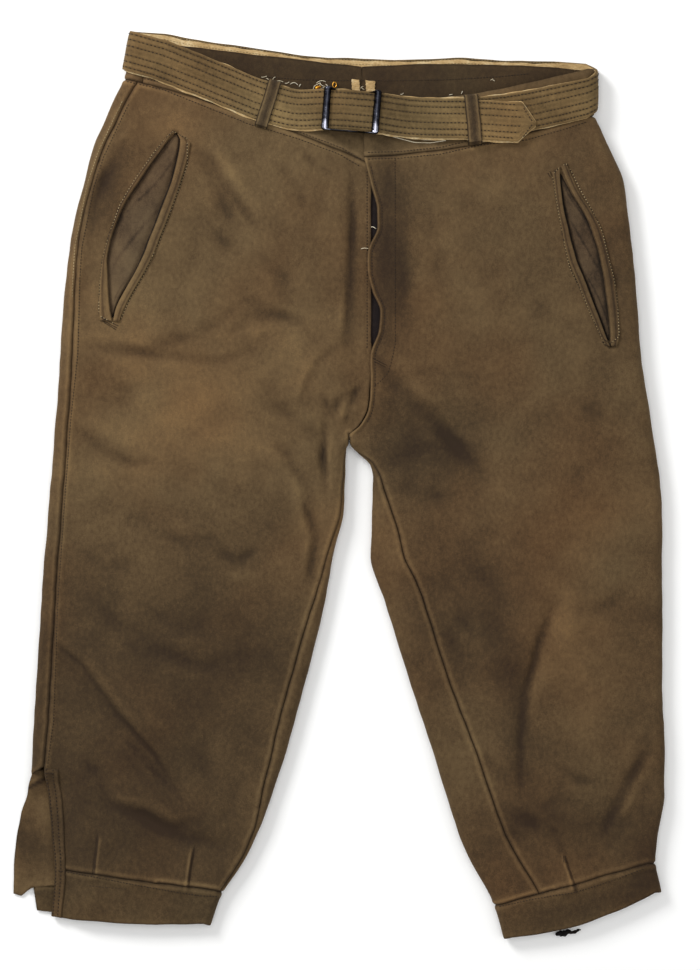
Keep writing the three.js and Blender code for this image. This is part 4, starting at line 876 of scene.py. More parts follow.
def suede(name, colours, sheen=0.3):
    """Napped leather: colours run from the darkest stain to the palest wear, and they also show the painted
    shade and highlights that the tone carries.
    """
    nodes = Nodes(name)
    cloud = nodes.noise(11, 5)
    patch = nodes.noise(42, 4)
    nap = nodes.noise(300, 4, (1, 0.7, 1))
    grain = nodes.noise(1500, 2)
    tone = nodes.varied(nodes.attribute("tone"), [(cloud, 0.36), (patch, 0.26), (nap, 0.36), (grain, 0.56)])
    colour = nodes.ramp(tone, zip((0.12, 0.34, 0.5, 0.66, 0.9), colours))
    nodes.colour(nodes.warmed(colour, nodes.noise(7, 3)))
    nodes.bump([(patch, 1.2, 0.25), (nap, 0.5, 0.3), (grain, 0.25, 0.35)])
    nodes.set(Roughness=0.92, Specular_IOR_Level=0.22, Sheen_Weight=sheen, Sheen_Roughness=0.45)
    nodes.shader.inputs["Sheen Tint"].default_value = linear("#8a7350")
    return nodes.material


def raw_leather(name, colours):
    """The uncoated cream flesh side, slightly fibrous."""
    nodes = Nodes(name)
    patch, fibre = nodes.noise(60, 4), nodes.noise(900, 3, (0.4, 1, 1))
    tone = nodes.varied(0.5, [(patch, 0.7), (fibre, 0.5)])
    nodes.colour(nodes.ramp(tone, zip((0.2, 0.5, 0.8), colours)))
    nodes.bump([(patch, 0.5, 0.3), (fibre, 0.25, 0.4)])
    nodes.set(Roughness=0.85, Specular_IOR_Level=0.3)
    return nodes.material


def thread(name, colours):
    """Sewing thread with a fine twist."""
    nodes = Nodes(name)
    twist = nodes.noise(2600, 2)
    tone = nodes.varied(0.5, [(nodes.noise(30, 3), 0.8), (twist, 0.5)])
    nodes.colour(nodes.ramp(tone, zip((0.25, 0.5, 0.75), colours)))
    nodes.set(Roughness=0.75, Specular_IOR_Level=0.3)
    return nodes.material


def metal(name, colours, roughness, worn_and_painted_glints=False):
    """Scuffed bright metal with fine scratches and dull spots. On the buckle frame a tone attribute, which
    holds painted glints and highlights, picks its colour.
    """
    nodes = Nodes(name)
    spots, scratches = nodes.noise(180, 5), nodes.noise(700, 3, (0.15, 1, 1))
    tone = nodes.varied(nodes.attribute("tone") if worn_and_painted_glints else 0.5, [(spots, 0.5), (scratches, 0.3)])
    nodes.colour(nodes.ramp(tone, zip((0.2, 0.5, 0.8), colours)))
    nodes.link(nodes.varied(roughness, [(spots, 0.25), (scratches, 0.15)]), nodes.shader.inputs["Roughness"])
    nodes.bump([(scratches, 0.05, 0.3)])
    nodes.set(Metallic=1.0)
    return nodes.material


SUEDE = suede("suede_body", ("#2c2014", "#3d2f1d", "#4d3c26", "#5b4930", "#6f5a3b"))
SUEDE_BELT = suede("suede_belt", ("#2b2114", "#42351f", "#58482d", "#665436", "#7d6843"))
SUEDE_BAND = suede("suede_band", ("#2b2014", "#3c2f1d", "#4c3d27", "#5a4931", "#6e5a3d"))
SUEDE_LOOP = suede("suede_loop", ("#17110a", "#2b2116", "#3b2f1f", "#4b3d29", "#625136"), 0.08)
# Near-black suede: painted shade under the fly's gaps; the knot's roll uses it too.
SUEDE_DARK = suede("suede_shadow", ("#0c0809", "#140e0e", "#1d1614", "#2b221c", "#3a2f25"), 0.05)
SUEDE_FACING = suede("suede_facing", ("#120d08", "#2c2217", "#433525", "#50412e", "#5f4f38"), 0.1)
CREAM = raw_leather("raw_cream_leather", ("#775d38", "#ad9062", "#dccba2"))
THREAD_DARK = thread("thread_brown", ("#150e08", "#25190e", "#3a2a18"))
THREAD_LIGHT = thread("thread_gold", ("#625239", "#8b7854", "#b8a37c"))
THREAD_PALE = thread("thread_pale", ("#a08a66", "#d8ccb0", "#f5efe0"))
# On the buckle frame, a tone attribute with painted glints and highlights picks this metal's colour.
CHROME = metal("chrome_worn_painted_glints", ("#0b0b0d", "#3b3c44", "#b3b4c4"), 0.16, worn_and_painted_glints=True)
BRASS = metal("brass_bit", ("#8a5a17", "#c98a2c", "#e8bb62"), 0.3)


def panel(name, blocks, edges, thickness, side, material=SUEDE, mouth=False, **options):
    """One piece of the garment, from blocks of its surface, with a pocket's mouth cut where it has one."""
    sheet = weld(blocks, side == "right")
    if mouth:
        TREES[f"{name}_whole"] = BVHTree.FromPolygons(sheet.points.tolist(), sheet.quads.tolist())
        cut_mouth(sheet, side)
    shell(name, sheet, edges, material, thickness, **options)


# Shares of GRID within which points move onto a lip: before the cut, and the cut's own rim.
LIP_REACH, RIM_REACH = 0.55, 1.8


def pocket_line(side, column):
    """x of one of a pocket's lines, by y."""
    return curve_through([(row[0], row[column]) for row in POCKETS[side]])


def pocket_lips(side):
    """x of the outer and of the inner lip, by y."""
    return pocket_line(side, 2), pocket_line(side, 3)


def beside_pocket(side, points):
    """Which points of a front's top layer lie between the pocket's ends."""
    top, bottom = POCKETS[side][0][0], POCKETS[side][-1][0]
    return (points[:, 1] < top) & (points[:, 1] > bottom) & (points[:, 2] > TOP_LAYER_OVER)


def cut_mouth(sheet, side):
    """Cuts a pocket's mouth: points near a lip move onto it, and the quads between the lips go."""
    lips = pocket_lips(side)
    x, y = sheet.points[:, 0], sheet.points[:, 1]
    near = beside_pocket(side, sheet.points)
    for lip in lips:
        at = lip(y)
        close = near & (np.abs(x - at) < GRID * LIP_REACH)
        x[close] = at[close]
    middle = sheet.points[sheet.quads].mean(1)
    both = np.stack([lip(middle[:, 1]) for lip in lips])
    between = (middle[:, 0] > both.min(0)) & (middle[:, 0] < both.max(0))
    sheet.quads = sheet.quads[~(between & beside_pocket(side, middle))]
    rim = rim_of(sheet.quads)
    rim = rim[near[rim]]
    gaps = np.stack([np.abs(x[rim] - lip(y[rim])) for lip in lips])
    chosen = rim[gaps.min(0) < GRID * RIM_REACH]
    both = np.stack([lip(y[chosen]) for lip in lips])
    x[chosen] = np.where(np.abs(x[chosen] - both[0]) < np.abs(x[chosen] - both[1]), both[0], both[1])


# ---------------------------------------------------------------- body panels
def place_on_leg(side, point):
    """Station and share of the top layer's width at a plan point near the cuff."""
    best = None
    for v in np.linspace(1.6, 2, 81):
        cut = section(side, float(v))
        across = cut.outer - cut.inner
        off = abs(across[0] * (point[1] - cut.inner[1]) - across[1] * (point[0] - cut.inner[0])) / cut.width
        if best is None or off < best[0]:
            best = (off, v, float((np.array(point) - cut.inner) @ across) / cut.width**2)
    return best[1:]


TUCK_PLACES = {side: [(place_on_leg(side, start), place_on_leg(side, end)) for start, end, _ in rows]
               for side, rows in TUCKS.items()}


def columns_at_tucks(side, cut):
    """The extra columns that carry the tucks' sharp steps."""
    reach = np.arange(-4, 5) * TUCK_COLUMN / TUCK_LEG_WIDTH
    return np.concatenate([np.interp(cut.v, (a[0], b[0]), (a[1], b[1])) + reach
                           for a, b in TUCK_PLACES[side]])


EVERYWHERE = (lambda v, q: np.full(len(v), True), plain_edge)
AT_ENDS = (lambda v, q: (v < 0.001) | (v > 1.999), seam_profile)      # the waist and cuff seams
TORSO_LENGTH, LEG_LENGTH = 300, 420


def two_blocks(side, columns, count):
    """A panel's blocks on the torso and on the leg."""
    return [block(side, stations(start, start + 1, length), lambda cut: columns(side, cut, start == 1, count))
            for start, length in ((0, TORSO_LENGTH), (1, LEG_LENGTH))]


def front_columns(side, cut, on_leg, count):
    """Columns of a front, from the fly or inseam to its side seam, which at the left lies below."""
    end = shift(cut, right_side_seam(cut), -SEAM_GAP / 2) if side == "right" else 1
    seam = inseam(side, cut) if on_leg else 0
    start = max(0, seam + 8 / cut.width) if on_leg else 0
    main = spread(start, end, cut.width, count, (True, side == "right"))
    main = np.sort(np.concatenate([main, columns_at_tucks(side, cut)]))
    if on_leg:
        edge = shift(cut, seam, INSEAM_GAP / 2)
        main = np.concatenate([np.linspace(edge, start, 10)[:-1], main])
    if side == "right":
        return main
    fold = np.linspace(1, 2, 13)[1:]
    return np.concatenate([main, fold, np.linspace(2, shift(cut, LEFT_SIDE_SEAM, -SEAM_GAP / 2), 9)[1:]])


def front(side):
    """A front panel with its pocket's mouth cut through."""
    left = side == "left"
    mouth_end = 1 if left else 0.93
    at_fly = (lambda v, q: (v < 1) & (q < 0.001), bead_profile if left else plain_edge)
    at_inseam = (lambda v, q: (v >= 1) & (q < 0.35), seam_profile)
    at_side = (lambda v, q: q > 2 if left else (q > 0.93) & (v < VENT_OPEN), seam_profile)
    at_mouth = (lambda v, q: (v > 0.02) & (v < 0.9) & (q > 0.4) & (q < mouth_end), plain_edge)
    blocks = two_blocks(side, front_columns, int(ACROSS["front"] / GRID))
    edges = [at_fly, AT_ENDS, at_inseam, at_side, at_mouth]
    panel(f"front_{side}", blocks, edges, LEATHER, side, mouth=True)


def back_columns(side, cut, on_leg, count):
    """Columns of a back, from its side seam across the underside to the back seam or round to the inseam."""
    if side == "right":
        seam = shift(cut, right_side_seam(cut), SEAM_GAP / 2)
        seam = lerp(seam, 2, float(smoothstep(VENT_TOP, VENT_OPEN - 0.012, cut.v)))
        fold = spread(seam, UNDER_START, 37, 14, (True, False))[:-1]
        under = spread(UNDER_START, 3, cut.width, count, (False, True))
    else:
        fold = []
        under = spread(shift(cut, LEFT_SIDE_SEAM, SEAM_GAP / 2), 3, cut.width, count)
    if not on_leg:
        return np.concatenate([fold, under])
    end = 4 + shift(cut, inseam(side, cut), -INSEAM_GAP / 2)
    fold_end = min(4, lerp(3, end, 0.75))
    scale = cut.width if fold_end == 4 else math.pi * cut.reach
    strip = spread(fold_end, end, scale, 8, (False, True))[1:]
    return np.concatenate([fold, under, np.linspace(3, fold_end, 14)[1:], strip])


def back(side):
    """A back panel, which wraps round the folds onto the top side."""
    at_side = (lambda v, q: q < 2.1, seam_profile)
    at_back = (lambda v, q: (v < 1) & (np.abs(q - 3) < 0.001), seam_profile)
    at_inseam = (lambda v, q: (v >= 1) & (q > 3.2), seam_profile)
    blocks = two_blocks(side, back_columns, int(ACROSS["back"] / GRID))
    panel(f"back_{side}", blocks, [at_side, at_back, AT_ENDS, at_inseam], LEATHER, side)


# ---------------------------------------------------------------- waistband and cuffs
BAND_HEIGHT, CUFF_HEIGHT = 45, 26      # mm that a step of 1 in v stands for


def band_columns(part, side, cut):
    """Columns of a waistband's front or back: its side seam lies on top at the right, below at the left."""
    count = int(ACROSS["waistband"] / GRID)
    front_end, back_start = BAND_SEAM[side] - HALF_BAND_GAP, BAND_SEAM[side] + HALF_BAND_GAP
    if (part, side) == ("front", "right"):
        return spread(0, front_end, cut.width, count)
    if (part, side) == ("back", "left"):
        return spread(back_start, 3, cut.width, count)
    if part == "front":
        main = spread(0, 1, cut.width, count, (True, False))
        return np.concatenate([main, np.linspace(1, 2, 14)[1:], np.linspace(2, front_end, 6)[1:]])
    main = spread(2, 3, cut.width, count, (False, True))
    return np.concatenate([[back_start], np.linspace(1, 2, 16), main[1:]])


def waistband(side):
    """The waistband's front and back."""
    gap = SEAM_GAP / BAND_HEIGHT
    rows = spread(-1 - gap, -gap, BAND_HEIGHT, int(30 / GRID) + 3)
    low = (lambda v, q: v > -0.01, seam_profile)
    rest = (lambda v, q: v < -0.01, plain_edge)
    for part in ("front", "back"):
        grid = block(side, rows, lambda cut: band_columns(part, side, cut))
        # The band's inside is painted darker as shade.
        panel(f"waistband_{part}_{side}", [grid], [low, rest], DOUBLE, side, SUEDE_BAND, inner_tone=-0.3)


def cuff_columns(side, cut):
    """Columns of a cuff. The right one ends at the open vent; the left one goes all the way round."""
    count = int(ACROSS["cuff"] / GRID)
    fold = np.linspace(3, 4, 14)[1:]
    if side == "left":
        start = spread(CUFF_JOIN + CUFF_HALF_GAP, 3, cut.width, count // 2, (True, False))
        top = np.linspace(4, 5, count)[1:]
        outer = np.linspace(5, 6, 14)[1:]
        tail = np.linspace(6, 4 + CUFF_JOIN - CUFF_HALF_GAP, 14)[1:]
        return np.concatenate([start, fold, top, outer, tail])
    end = shift(cut, right_side_seam(cut), -SEAM_GAP / 2)
    under = spread(2, 3, cut.width, count, (True, False))
    return np.concatenate([under, fold, 4 + spread(0, end, cut.width, count, (False, True))[1:]])


def cuff(side):
    """A knee cuff."""
    rows = spread(2 + SEAM_GAP / CUFF_HEIGHT, 3, CUFF_HEIGHT, int(14 / GRID) + 2)
    low = (lambda v, q: v < 2.1, seam_profile)
    rest = (lambda v, q: v >= 2.1, plain_edge)
    grid = block(side, rows, lambda cut: cuff_columns(side, cut))
    panel(f"cuff_{side}", [grid], [low, rest], DOUBLE, side, SUEDE_BAND)


# ---------------------------------------------------------------- the right leg's vent
VENT_ROWS = []        # plan lines of its two rows of stitches
VENT_SCALE = 115      # mm that a step of 1 in v stands for there


def vent_placket():
    """The double-stitched edge of the open side vent. Notes where its rows of stitches run."""
    rows = spread(VENT_TOP, 3, VENT_SCALE, int(110 / GRID))

    def columns(cut):
        end = shift(cut, right_side_seam(cut), -SEAM_GAP / 2)
        seam = inseam("right", cut)
        start = max(0, seam + 8 / cut.width)
        return np.linspace(lerp(start, end, 0.93), lerp(start, end, 0.995), 13)

    grid = moved_out(block("right", rows, columns), LAY_GAP + TRIM)
    VENT_ROWS.extend(grid[0][:, column, :2] for column in (11, 5))
    edge = (EVERYWHERE[0], lambda d: plain_edge(d) + 0.25 * bell(d, 1.6, 1.2))
    panel("vent_placket_right", [grid], [edge], TRIM, "right")


def fold_x(y):
    """x of the middle of the right leg's outer fold."""
    return outer_x["right"](y) + 7.3


def underlap_plan():
    """Rows of plan points across the flap, down to its pointed lower end."""
    steps = np.linspace(0, 4, 41)
    edge, end = curve_through(UNDERLAP_EDGE), np.array(UNDERLAP_END, float)
    rows = []
    for y in np.linspace(UNDERLAP_START, UNDERLAP_LAST_ROW, int(108 / GRID) + 12):
        start = float(edge(y))
        bend = max(start + 2, fold_x(y) - 8)
        inner = max(bend + 2, fold_x(y) - 0.8)
        x = np.interp(steps, range(5), [start, (start + bend) / 2, bend, inner, UNDERLAP_INSIDE])
        rows.append(np.column_stack([x, np.full(len(x), y)]))
    last = np.column_stack([np.interp(steps, range(5), end[:, k]) for k in (0, 1)])
    return np.array(rows + [lerp(rows[-1], last, k) for k in np.linspace(0, 1, 9)[1:]])


def vent_underlap():
    """The flap: it leaves the end of the leg's fold and flattens downwards, with a painted dark line of shade
    across it where it creases.
    """
    plan = underlap_plan()
    x, y = plan[..., 0], plan[..., 1]
    inside = np.maximum(smoothstep(0, 1, (x - fold_x(y) + 8) / 7), smoothstep(-302, -288, y))
    raised = smoothstep(-300, -272, y) * (1 - smoothstep(-281, -269, x))
    wave = np.sin((y + 0.6 * x) / 13)
    ripple = wave + 0.6 * np.sin((y - 1.4 * x) / 7.5)
    z = UNDERLAP_OVER * inside + TRIM + UNDERLAP_RISE * raised
    z = z + 0.6 * (1 - smoothstep(-377, -370, y)) + 0.35 * (1 - inside) * (1.6 + ripple)
    off, _, _ = beside((-287, -285), (-271, -276), x, y)
    # Painted shade: a dark line across the flap with a pale highlight beside it, drawn without relief;
    # lighter and darker with the ripples.
    tint = 0.18 + 0.12 * wave - 0.4 * bell(off, 0, 1.6) + 0.2 * bell(off, 3.5, 2)
    sheet = grid_sheet(np.stack([x, y, z], -1), tint)
    shell("vent_underlap_right", sheet, [EVERYWHERE], SUEDE, TRIM - 0.1, still=True)


# ---------------------------------------------------------------- pockets and fly
def on_top(side, x, y):
    """A point and normal of the uncut front's outside."""
    hit, normal, _, _ = TREES[f"front_{side}_whole"].ray_cast(Vector((x, y, 60)), Vector((0, 0, -1)))
    return np.array(hit), np.array(normal)


POCKET_RISE = {"right": 3.0, "left": 8.5}       # mm that each pocket's end peak stands over its first line
POCKET_ROOF_SLOPE, POCKET_ROOF_DEPTH = 0.66, 8


def pocket_roof(side, x, y):
    """How far a point near a pocket's upper end moves up, for the roof-shaped end of the welts."""
    top, peak = POCKETS[side][0][:2]
    return (POCKET_RISE[side] - POCKET_ROOF_SLOPE * abs(x - peak)) * math.exp(-(top - y) / POCKET_ROOF_DEPTH)


def pocket_grid(side, first, last, steps, offset):
    """Grid over the front between two of a pocket's lines, moved out by an offset."""
    low, high = pocket_line(side, first), pocket_line(side, last)
    top, bottom = POCKETS[side][0][0], POCKETS[side][-1][0]
    points = []
    for y in np.linspace(top, bottom, int(175 / GRID) * 2):
        line = []
        for share in np.linspace(0, 1, steps):
            x = lerp(float(low(y)), float(high(y)), share)
            point, normal = on_top(side, x, float(y) + pocket_roof(side, x, float(y)))
            line.append(point + normal * offset)
        points.append(line)
    return np.array(points)


def pocket_welts(side):
    """The two stitched lips of a mouth, each with a low crown."""
    across = np.linspace(0, 1, 9)
    for name, stitched, lip in (("outer", 1, 2), ("inner", 4, 3)):
        points = pocket_grid(side, stitched, lip, len(across), LAY_GAP + TRIM)
        points[..., 2] += 0.5 * np.sin(np.pi * across) ** 0.7
        # The welts' tone is painted highlight and shade across them.
        sheet = grid_sheet(points, welt_painted_shading(across))
        shell(f"pocket_welt_{name}_{side}", sheet, [EVERYWHERE], SUEDE, TRIM, still=True)


def pocket_facing(side):
    """What shows inside a mouth: it swells and ripples, and drops away beside the inner lip."""
    points = pocket_grid(side, 4, 1, 33, -LEATHER - LAY_GAP)
    y = points[..., 1]
    outer, inner = (lip(y) for lip in pocket_lips(side))
    share = np.clip((points[..., 0] - inner) / np.where(outer == inner, 1, outer - inner), 0, 1)
    gape = np.abs(outer - inner)
    ripples = np.sin(y / 9 + 5 * share) * 0.5 + np.sin(y / 4.3 - 4 * share) * 0.25
    points[..., 2] += np.sin(np.pi * share) ** 1.2 * np.minimum(gape / 12, 1) * (0.9 + 0.5 * ripples)
    points[..., 2] -= 1.4 * bell(share, 0.04, 0.08) * (share > 0)
    # The facing's tone is painted shade: the slit, beside the outer welt, and along its folds.
    sheet = grid_sheet(points, facing_painted_shade(y, share, gape))
    shell(f"pocket_facing_{side}", sheet, [], SUEDE_FACING, 1.0, slot="dark_leather", still=True)


def welt_painted_shading(across):
    """Painted light across a welt from its stitched edge to its lip: a pale highlight at the bead, a dark
    shaded line, plain, a pale highlight at the lip.
    """
    bead, furrow_shadow, lip = bell(across, 0.03, 0.12), bell(across, 0.34, 0.10), bell(across, 0.86, 0.12)
    return 0.24 * bead - 0.34 * furrow_shadow + 0.16 * lip - 0.03


def facing_painted_shade(y, share, gape):
    """Painted shade inside a mouth: a black slit beside the inner welt, a cool shadow beside the outer,
    darker folds, and streaks.
    """
    folds = bell(np.sin(y / 17 + 4.2 * share + 0.6), 0, 0.22) * np.sin(np.pi * share)
    streaks = 0.05 * np.sin(y / 6 - 5 * share + 1) + 0.03 - 0.2 * folds
    return streaks - 0.75 * bell(share * gape, 0, 1.6) - 0.25 * bell((1 - share) * gape, 0, 2.4)


def fly_placket():
    """The underlay in the gaps of the wavy fly edge, in near-black suede: painted shade that fills the gaps.
    """
    lines = []
    for y in np.linspace(293.5, 118, int(175 / GRID) + 4):
        point, _ = on_top("right", float(fly_x["right"](y)) - 1, float(y))
        x = np.linspace(20, 52, 17)
        z = point[2] - LEATHER - LAY_GAP + 0.25 * np.sin(y / 7 + x / 6)
        lines.append(np.column_stack([x, np.full(17, y), z]))
    shell("fly_placket", grid_sheet(np.array(lines)), [], SUEDE_DARK, TRIM - 0.2, slot="dark_leather",
          still=True)


# ---------------------------------------------------------------- belt
def catmull_rom(points, step):
    """Points about 'step' apart on the centripetal curve through the given ones, and its directions."""
    points = np.array(points, float)
    padded = np.vstack([2 * points[0] - points[1], points, 2 * points[-1] - points[-2]])
    places, directions = [], []
    for a, b, c, d in zip(padded, padded[1:], padded[2:], padded[3:]):
        before, here, after = (np.linalg.norm(v) ** 0.5 for v in (b - a, c - b, d - c))
        start = ((b - a) / before - (c - a) / (before + here) + (c - b) / here) * here
        end = ((c - b) / here - (d - b) / (here + after) + (d - c) / after) * here
        count = max(2, int(np.linalg.norm(c - b) / step))
        k = np.linspace(0, 1, count + 1)[:-1, None]
        places.append(hermite(k, b, c, start, end))
        directions.append((6 * k**2 - 6 * k) * b + (3 * k**2 - 4 * k + 1) * start
                          + (6 * k - 6 * k**2) * c + (3 * k**2 - 2 * k) * end)
    last = padded[-2] - padded[-3]
    return np.vstack([*places, padded[-2:-1]]), np.vstack([*directions, last[None]])


Station = namedtuple("Station", "middle width normal top bottom stretch")
UP = np.array((0, 0, 1.0))
HALF_BELT = BELT_WIDTH / 2


def strap_tip():
    """Stations of the pointed tip, which is narrower than the strap."""
    z = STRAP_FRONT_Z + BELT_STACK
    return [Station(np.array((x, y, z)), np.array((0, 1.0, 0)), UP, top, bottom, "tip")
            for x, y, top, bottom in BELT_TIP]


def strap_flat(name, rows, normal):
    """Stations along a stretch that lies flat, over or under the waistband."""
    z = [STRAP_FRONT_Z + level * BELT_STACK if normal[2] > 0 else STRAP_BACK_Z for _, _, level in rows]
    places, directions = catmull_rom([(x, y, h) for (x, y, _), h in zip(rows, z)], 2.5)
    width = unit(np.column_stack([-directions[:, 1], directions[:, 0], np.zeros(len(places))]))
    width[width[:, 1] < 0] *= -1
    return [Station(place, w, normal, HALF_BELT, -HALF_BELT, name) for place, w in zip(places, width)]


def strap_fold(name, start, end):
    """Stations round the fold at one side of the waist, between two angles."""
    x, y_from, y_to, axis, out = BELT_FOLDS[name]
    width = unit((*axis, 0))
    outward = np.array((out * width[1], -out * width[0], 0))
    radius = (STRAP_FRONT_Z - STRAP_BACK_Z) / 2
    result = []
    for k in np.linspace(0, 1, 15):
        angle = lerp(start, end, k)
        normal = outward * math.sin(angle) + UP * math.cos(angle)
        middle = np.array((x, lerp(y_from, y_to, k), STRAP_BACK_Z + radius)) + normal * radius
        result.append(Station(middle, width, normal, HALF_BELT, -HALF_BELT, name))
    return result


# The whole strap, from its tip round the waist to its hidden end.
STRAP = [*strap_tip(), *strap_flat("front", BELT_FRONT, UP), *strap_fold("right", 0, math.pi),
         *strap_flat("back", BELT_BACK, -UP), *strap_fold("left", math.pi, 0),
         *strap_flat("under", BELT_UNDER, UP)]
STRAP_LENGTH = lengths_along([station.middle for station in STRAP])
STRAP_FRAMES = [np.array([station[part] for station in STRAP]) for part in range(3)]
BELT_ROWS = (-15.4, -10.2, -4.2, 4.2, 10.2, 15.4)      # stitch rows, mm from the strap's middle line
BACKING_EDGES = {  # mm that the cream backing stands out past the belt's top and bottom edges
    "tip": (1.8, 1.2), "front": (0.2, 1.6), "right": (-0.8, 0.4), "back": (-2.4, 0), "left": (-0.4, 0.4),
    "under": (1.0, 0.5),
}


def backing_edges():
    """How far the backing stands out at every station, smooth from one stretch to the next."""
    plain = np.array([BACKING_EDGES[station.stretch] for station in STRAP])
    padded = np.pad(plain, ((4, 4), (0, 0)), "edge")
    return np.stack([np.convolve(padded[:, k], np.full(9, 1 / 9), "valid") for k in (0, 1)], -1)


STRAP_EDGE = np.array([0, 0.015, 0.03, 0.05, 0.075])
STRAP_ACROSS = np.concatenate([STRAP_EDGE, np.linspace(0.1, 0.9, 35), 1 - STRAP_EDGE[::-1]])


def sewing_furrows(offsets):
    """Height and shade that the rows of sewing and the pressed edges add across the belt: painted shade along
    each sewn row, a painted highlight beside it, and lighter pressed edges.
    """
    rim = bell(STRAP_ACROSS, 0, 0.02) + bell(STRAP_ACROSS, 1, 0.02)
    height, shade = -0.5 * rim, 0.12 * rim
    for row in BELT_ROWS:
        shaded_groove = bell(offsets, row, 0.8)
        height = height - 0.35 * shaded_groove
        shade = shade - 0.10 * shaded_groove + 0.08 * bell(np.abs(offsets - row), 2, 0.9)
    return height, shade


def strap_row(station, s, to_body, above, below, sewn):
    """Points and shades across the strap at one station, a length s from its tip."""
    frayed = (0.35 * math.sin(s / 9) + 0.25 * math.sin(s / 3.1)) * (above != 0)
    offsets = lerp(station.top + above + frayed, station.bottom - below + frayed, STRAP_ACROSS)
    crown = 0 if station.normal[2] < -0.5 else 0.25 + 0.3 * math.sin(s / 23) ** 2
    height = to_body + crown * np.sin(np.pi * STRAP_ACROSS)
    shade = 0.06 * math.sin(s / 31) + 0.05 * np.sin(s / 14 + 5 * STRAP_ACROSS)
    if sewn:
        added = sewing_furrows(offsets)
        height, shade = height + added[0], shade + added[1]
    return station.middle + station.width * offsets[:, None] + station.normal * height[:, None], shade


def strap_layer(name, from_body, to_body, edges, material, slot, sewn):
    """A layer of the strap between two distances from the body; edges widen it at top and bottom."""
    rows = [strap_row(station, s, to_body, *edge, sewn)
            for station, s, edge in zip(STRAP, STRAP_LENGTH, edges)]
    points, shades = (np.array(part) for part in zip(*rows))
    facing = np.repeat([station.normal for station in STRAP], len(STRAP_ACROSS), 0)
    sheet = grid_sheet(points, shades, facing)
    # The strap's inside is painted darker as shade.
    shell(name, sheet, [], material, to_body - from_body, slot=slot, still=True, inner_tone=-0.2)


def belt():
    """The belt's suede strap and its cream backing."""
    plain = np.zeros((len(STRAP), 2))
    strap_layer("belt", BELT_BACKING + SEAM_GAP, BELT_OUTSIDE, plain, SUEDE_BELT, "suede", True)
    strap_layer("belt_backing", 0, BELT_BACKING, backing_edges(), CREAM, "cream_leather", False)


# ---------------------------------------------------------------- loops, tabs and knot
def loop_path(half, over):
    """Places along a loop from its upper foot to its lower one, and their heights."""
    step, foot_z = LOOP_LEATHER * 0.9, STRAP_FRONT_Z + LOOP_LEATHER
    corners = [(half, foot_z), (half - LOOP_FOOT + step, foot_z),
               (half - LOOP_FOOT - LOOP_RISE + step, over + LOOP_LEATHER)]
    corners += [(-s, z) for s, z in reversed(corners)]
    length = lengths_along(corners)
    at = np.linspace(0, length[-1], 70)
    return (np.interp(at, length, values) for values in zip(*corners))


def belt_loop(side):
    """A dark loop over the belt, with a ridge along its middle and sewn edges: paler bands near the edges,
    darker down the middle, and painted shade along the edges themselves.
    """
    top, bottom, width, over = LOOPS[side]
    top, bottom = np.array(top), np.array(bottom)
    s, z = loop_path(np.linalg.norm(top - bottom) / 2, over)
    direction = unit(top - bottom)
    side_way = np.array((-direction[1], direction[0]))
    across = np.linspace(-1, 1, 27)
    off = np.abs(across)
    plan = (top + bottom) / 2 + direction * s[:, None, None] + side_way * (across * width / 2)[None, :, None]
    ridge = 0.35 * bell(across, 0, 0.22) - 0.3 * bell(off, 0.8, 0.12) - 0.4 * bell(off, 1, 0.06)
    # Paler bands near the edges, a darker middle, and painted shade at the very edges.
    shade = 0.3 * bell(off, 0.72, 0.14) - 0.5 * bell(off, 1, 0.1) - 0.14 * bell(across, 0, 0.3)
    points = np.concatenate([plan, (z[:, None] + ridge)[..., None]], -1)
    shell(f"belt_loop_{side}", grid_sheet(points, shade), [], SUEDE_LOOP, LOOP_LEATHER - 0.1,
          slot="dark_leather", still=True)


def back_tab(side):
    """A small cream tab with a slightly crumpled surface."""
    corners = np.array(BACK_TABS[side], float)
    k = np.linspace(0, 1, 14)
    left = lerp(corners[0], corners[3], k[:, None])
    right = lerp(corners[1], corners[2], k[:, None])
    plan = left[:, None] * (1 - k[None, :, None]) + right[:, None] * k[None, :, None]
    x, y = plan[..., 0], plan[..., 1]
    z = 7.4 + 0.3 * np.sin(x * 1.1) * np.sin(y * 0.9) + 0.25 * np.sin(y * 1.7 + x)
    sheet = grid_sheet(np.stack([x + 0.3 * np.sin(y * 1.9), y, z], -1))
    shell(f"back_tab_{side}", sheet, [], CREAM, 0.8, slot="cream_leather", still=True)


def tube_faces(count, sides, base=0):
    """Faces of a closed tube of rings of points, the first of which has the number base."""
    rings = [[base + i * sides + k for k in range(sides)] for i in range(count)]
    faces = []
    for a, b in zip(rings, rings[1:]):
        for k in range(sides):
            n = (k + 1) % sides
            faces.append([a[k], a[n], b[n], b[k]])
    return [*faces, rings[0][::-1], rings[-1]]


def round_along(points, radius, sides):
    """Vertices and faces of a round thread along points in plan millimetres."""
    tangent = unit(np.gradient(points, axis=0))
    first = np.empty_like(points)
    carried = np.array((0.31, 0.2, 0.93))
    for i, way in enumerate(tangent):
        carried = unit(carried - way * (carried @ way))
        first[i] = carried
    second = np.cross(tangent, first)
    radius = np.broadcast_to(radius, (len(points),))
    ring = [points + radius[:, None] * (first * math.cos(a) + second * math.sin(a))
            for a in np.linspace(0, 2 * math.pi, sides, endpoint=False)]
    return np.stack(ring, 1).reshape(-1, 3), tube_faces(len(points), sides)


def tube(name, points, radius, material, sides):
    """A piece made of one round thread."""
    obj = make_mesh(name, *round_along(points, radius, sides), material)
    return obj


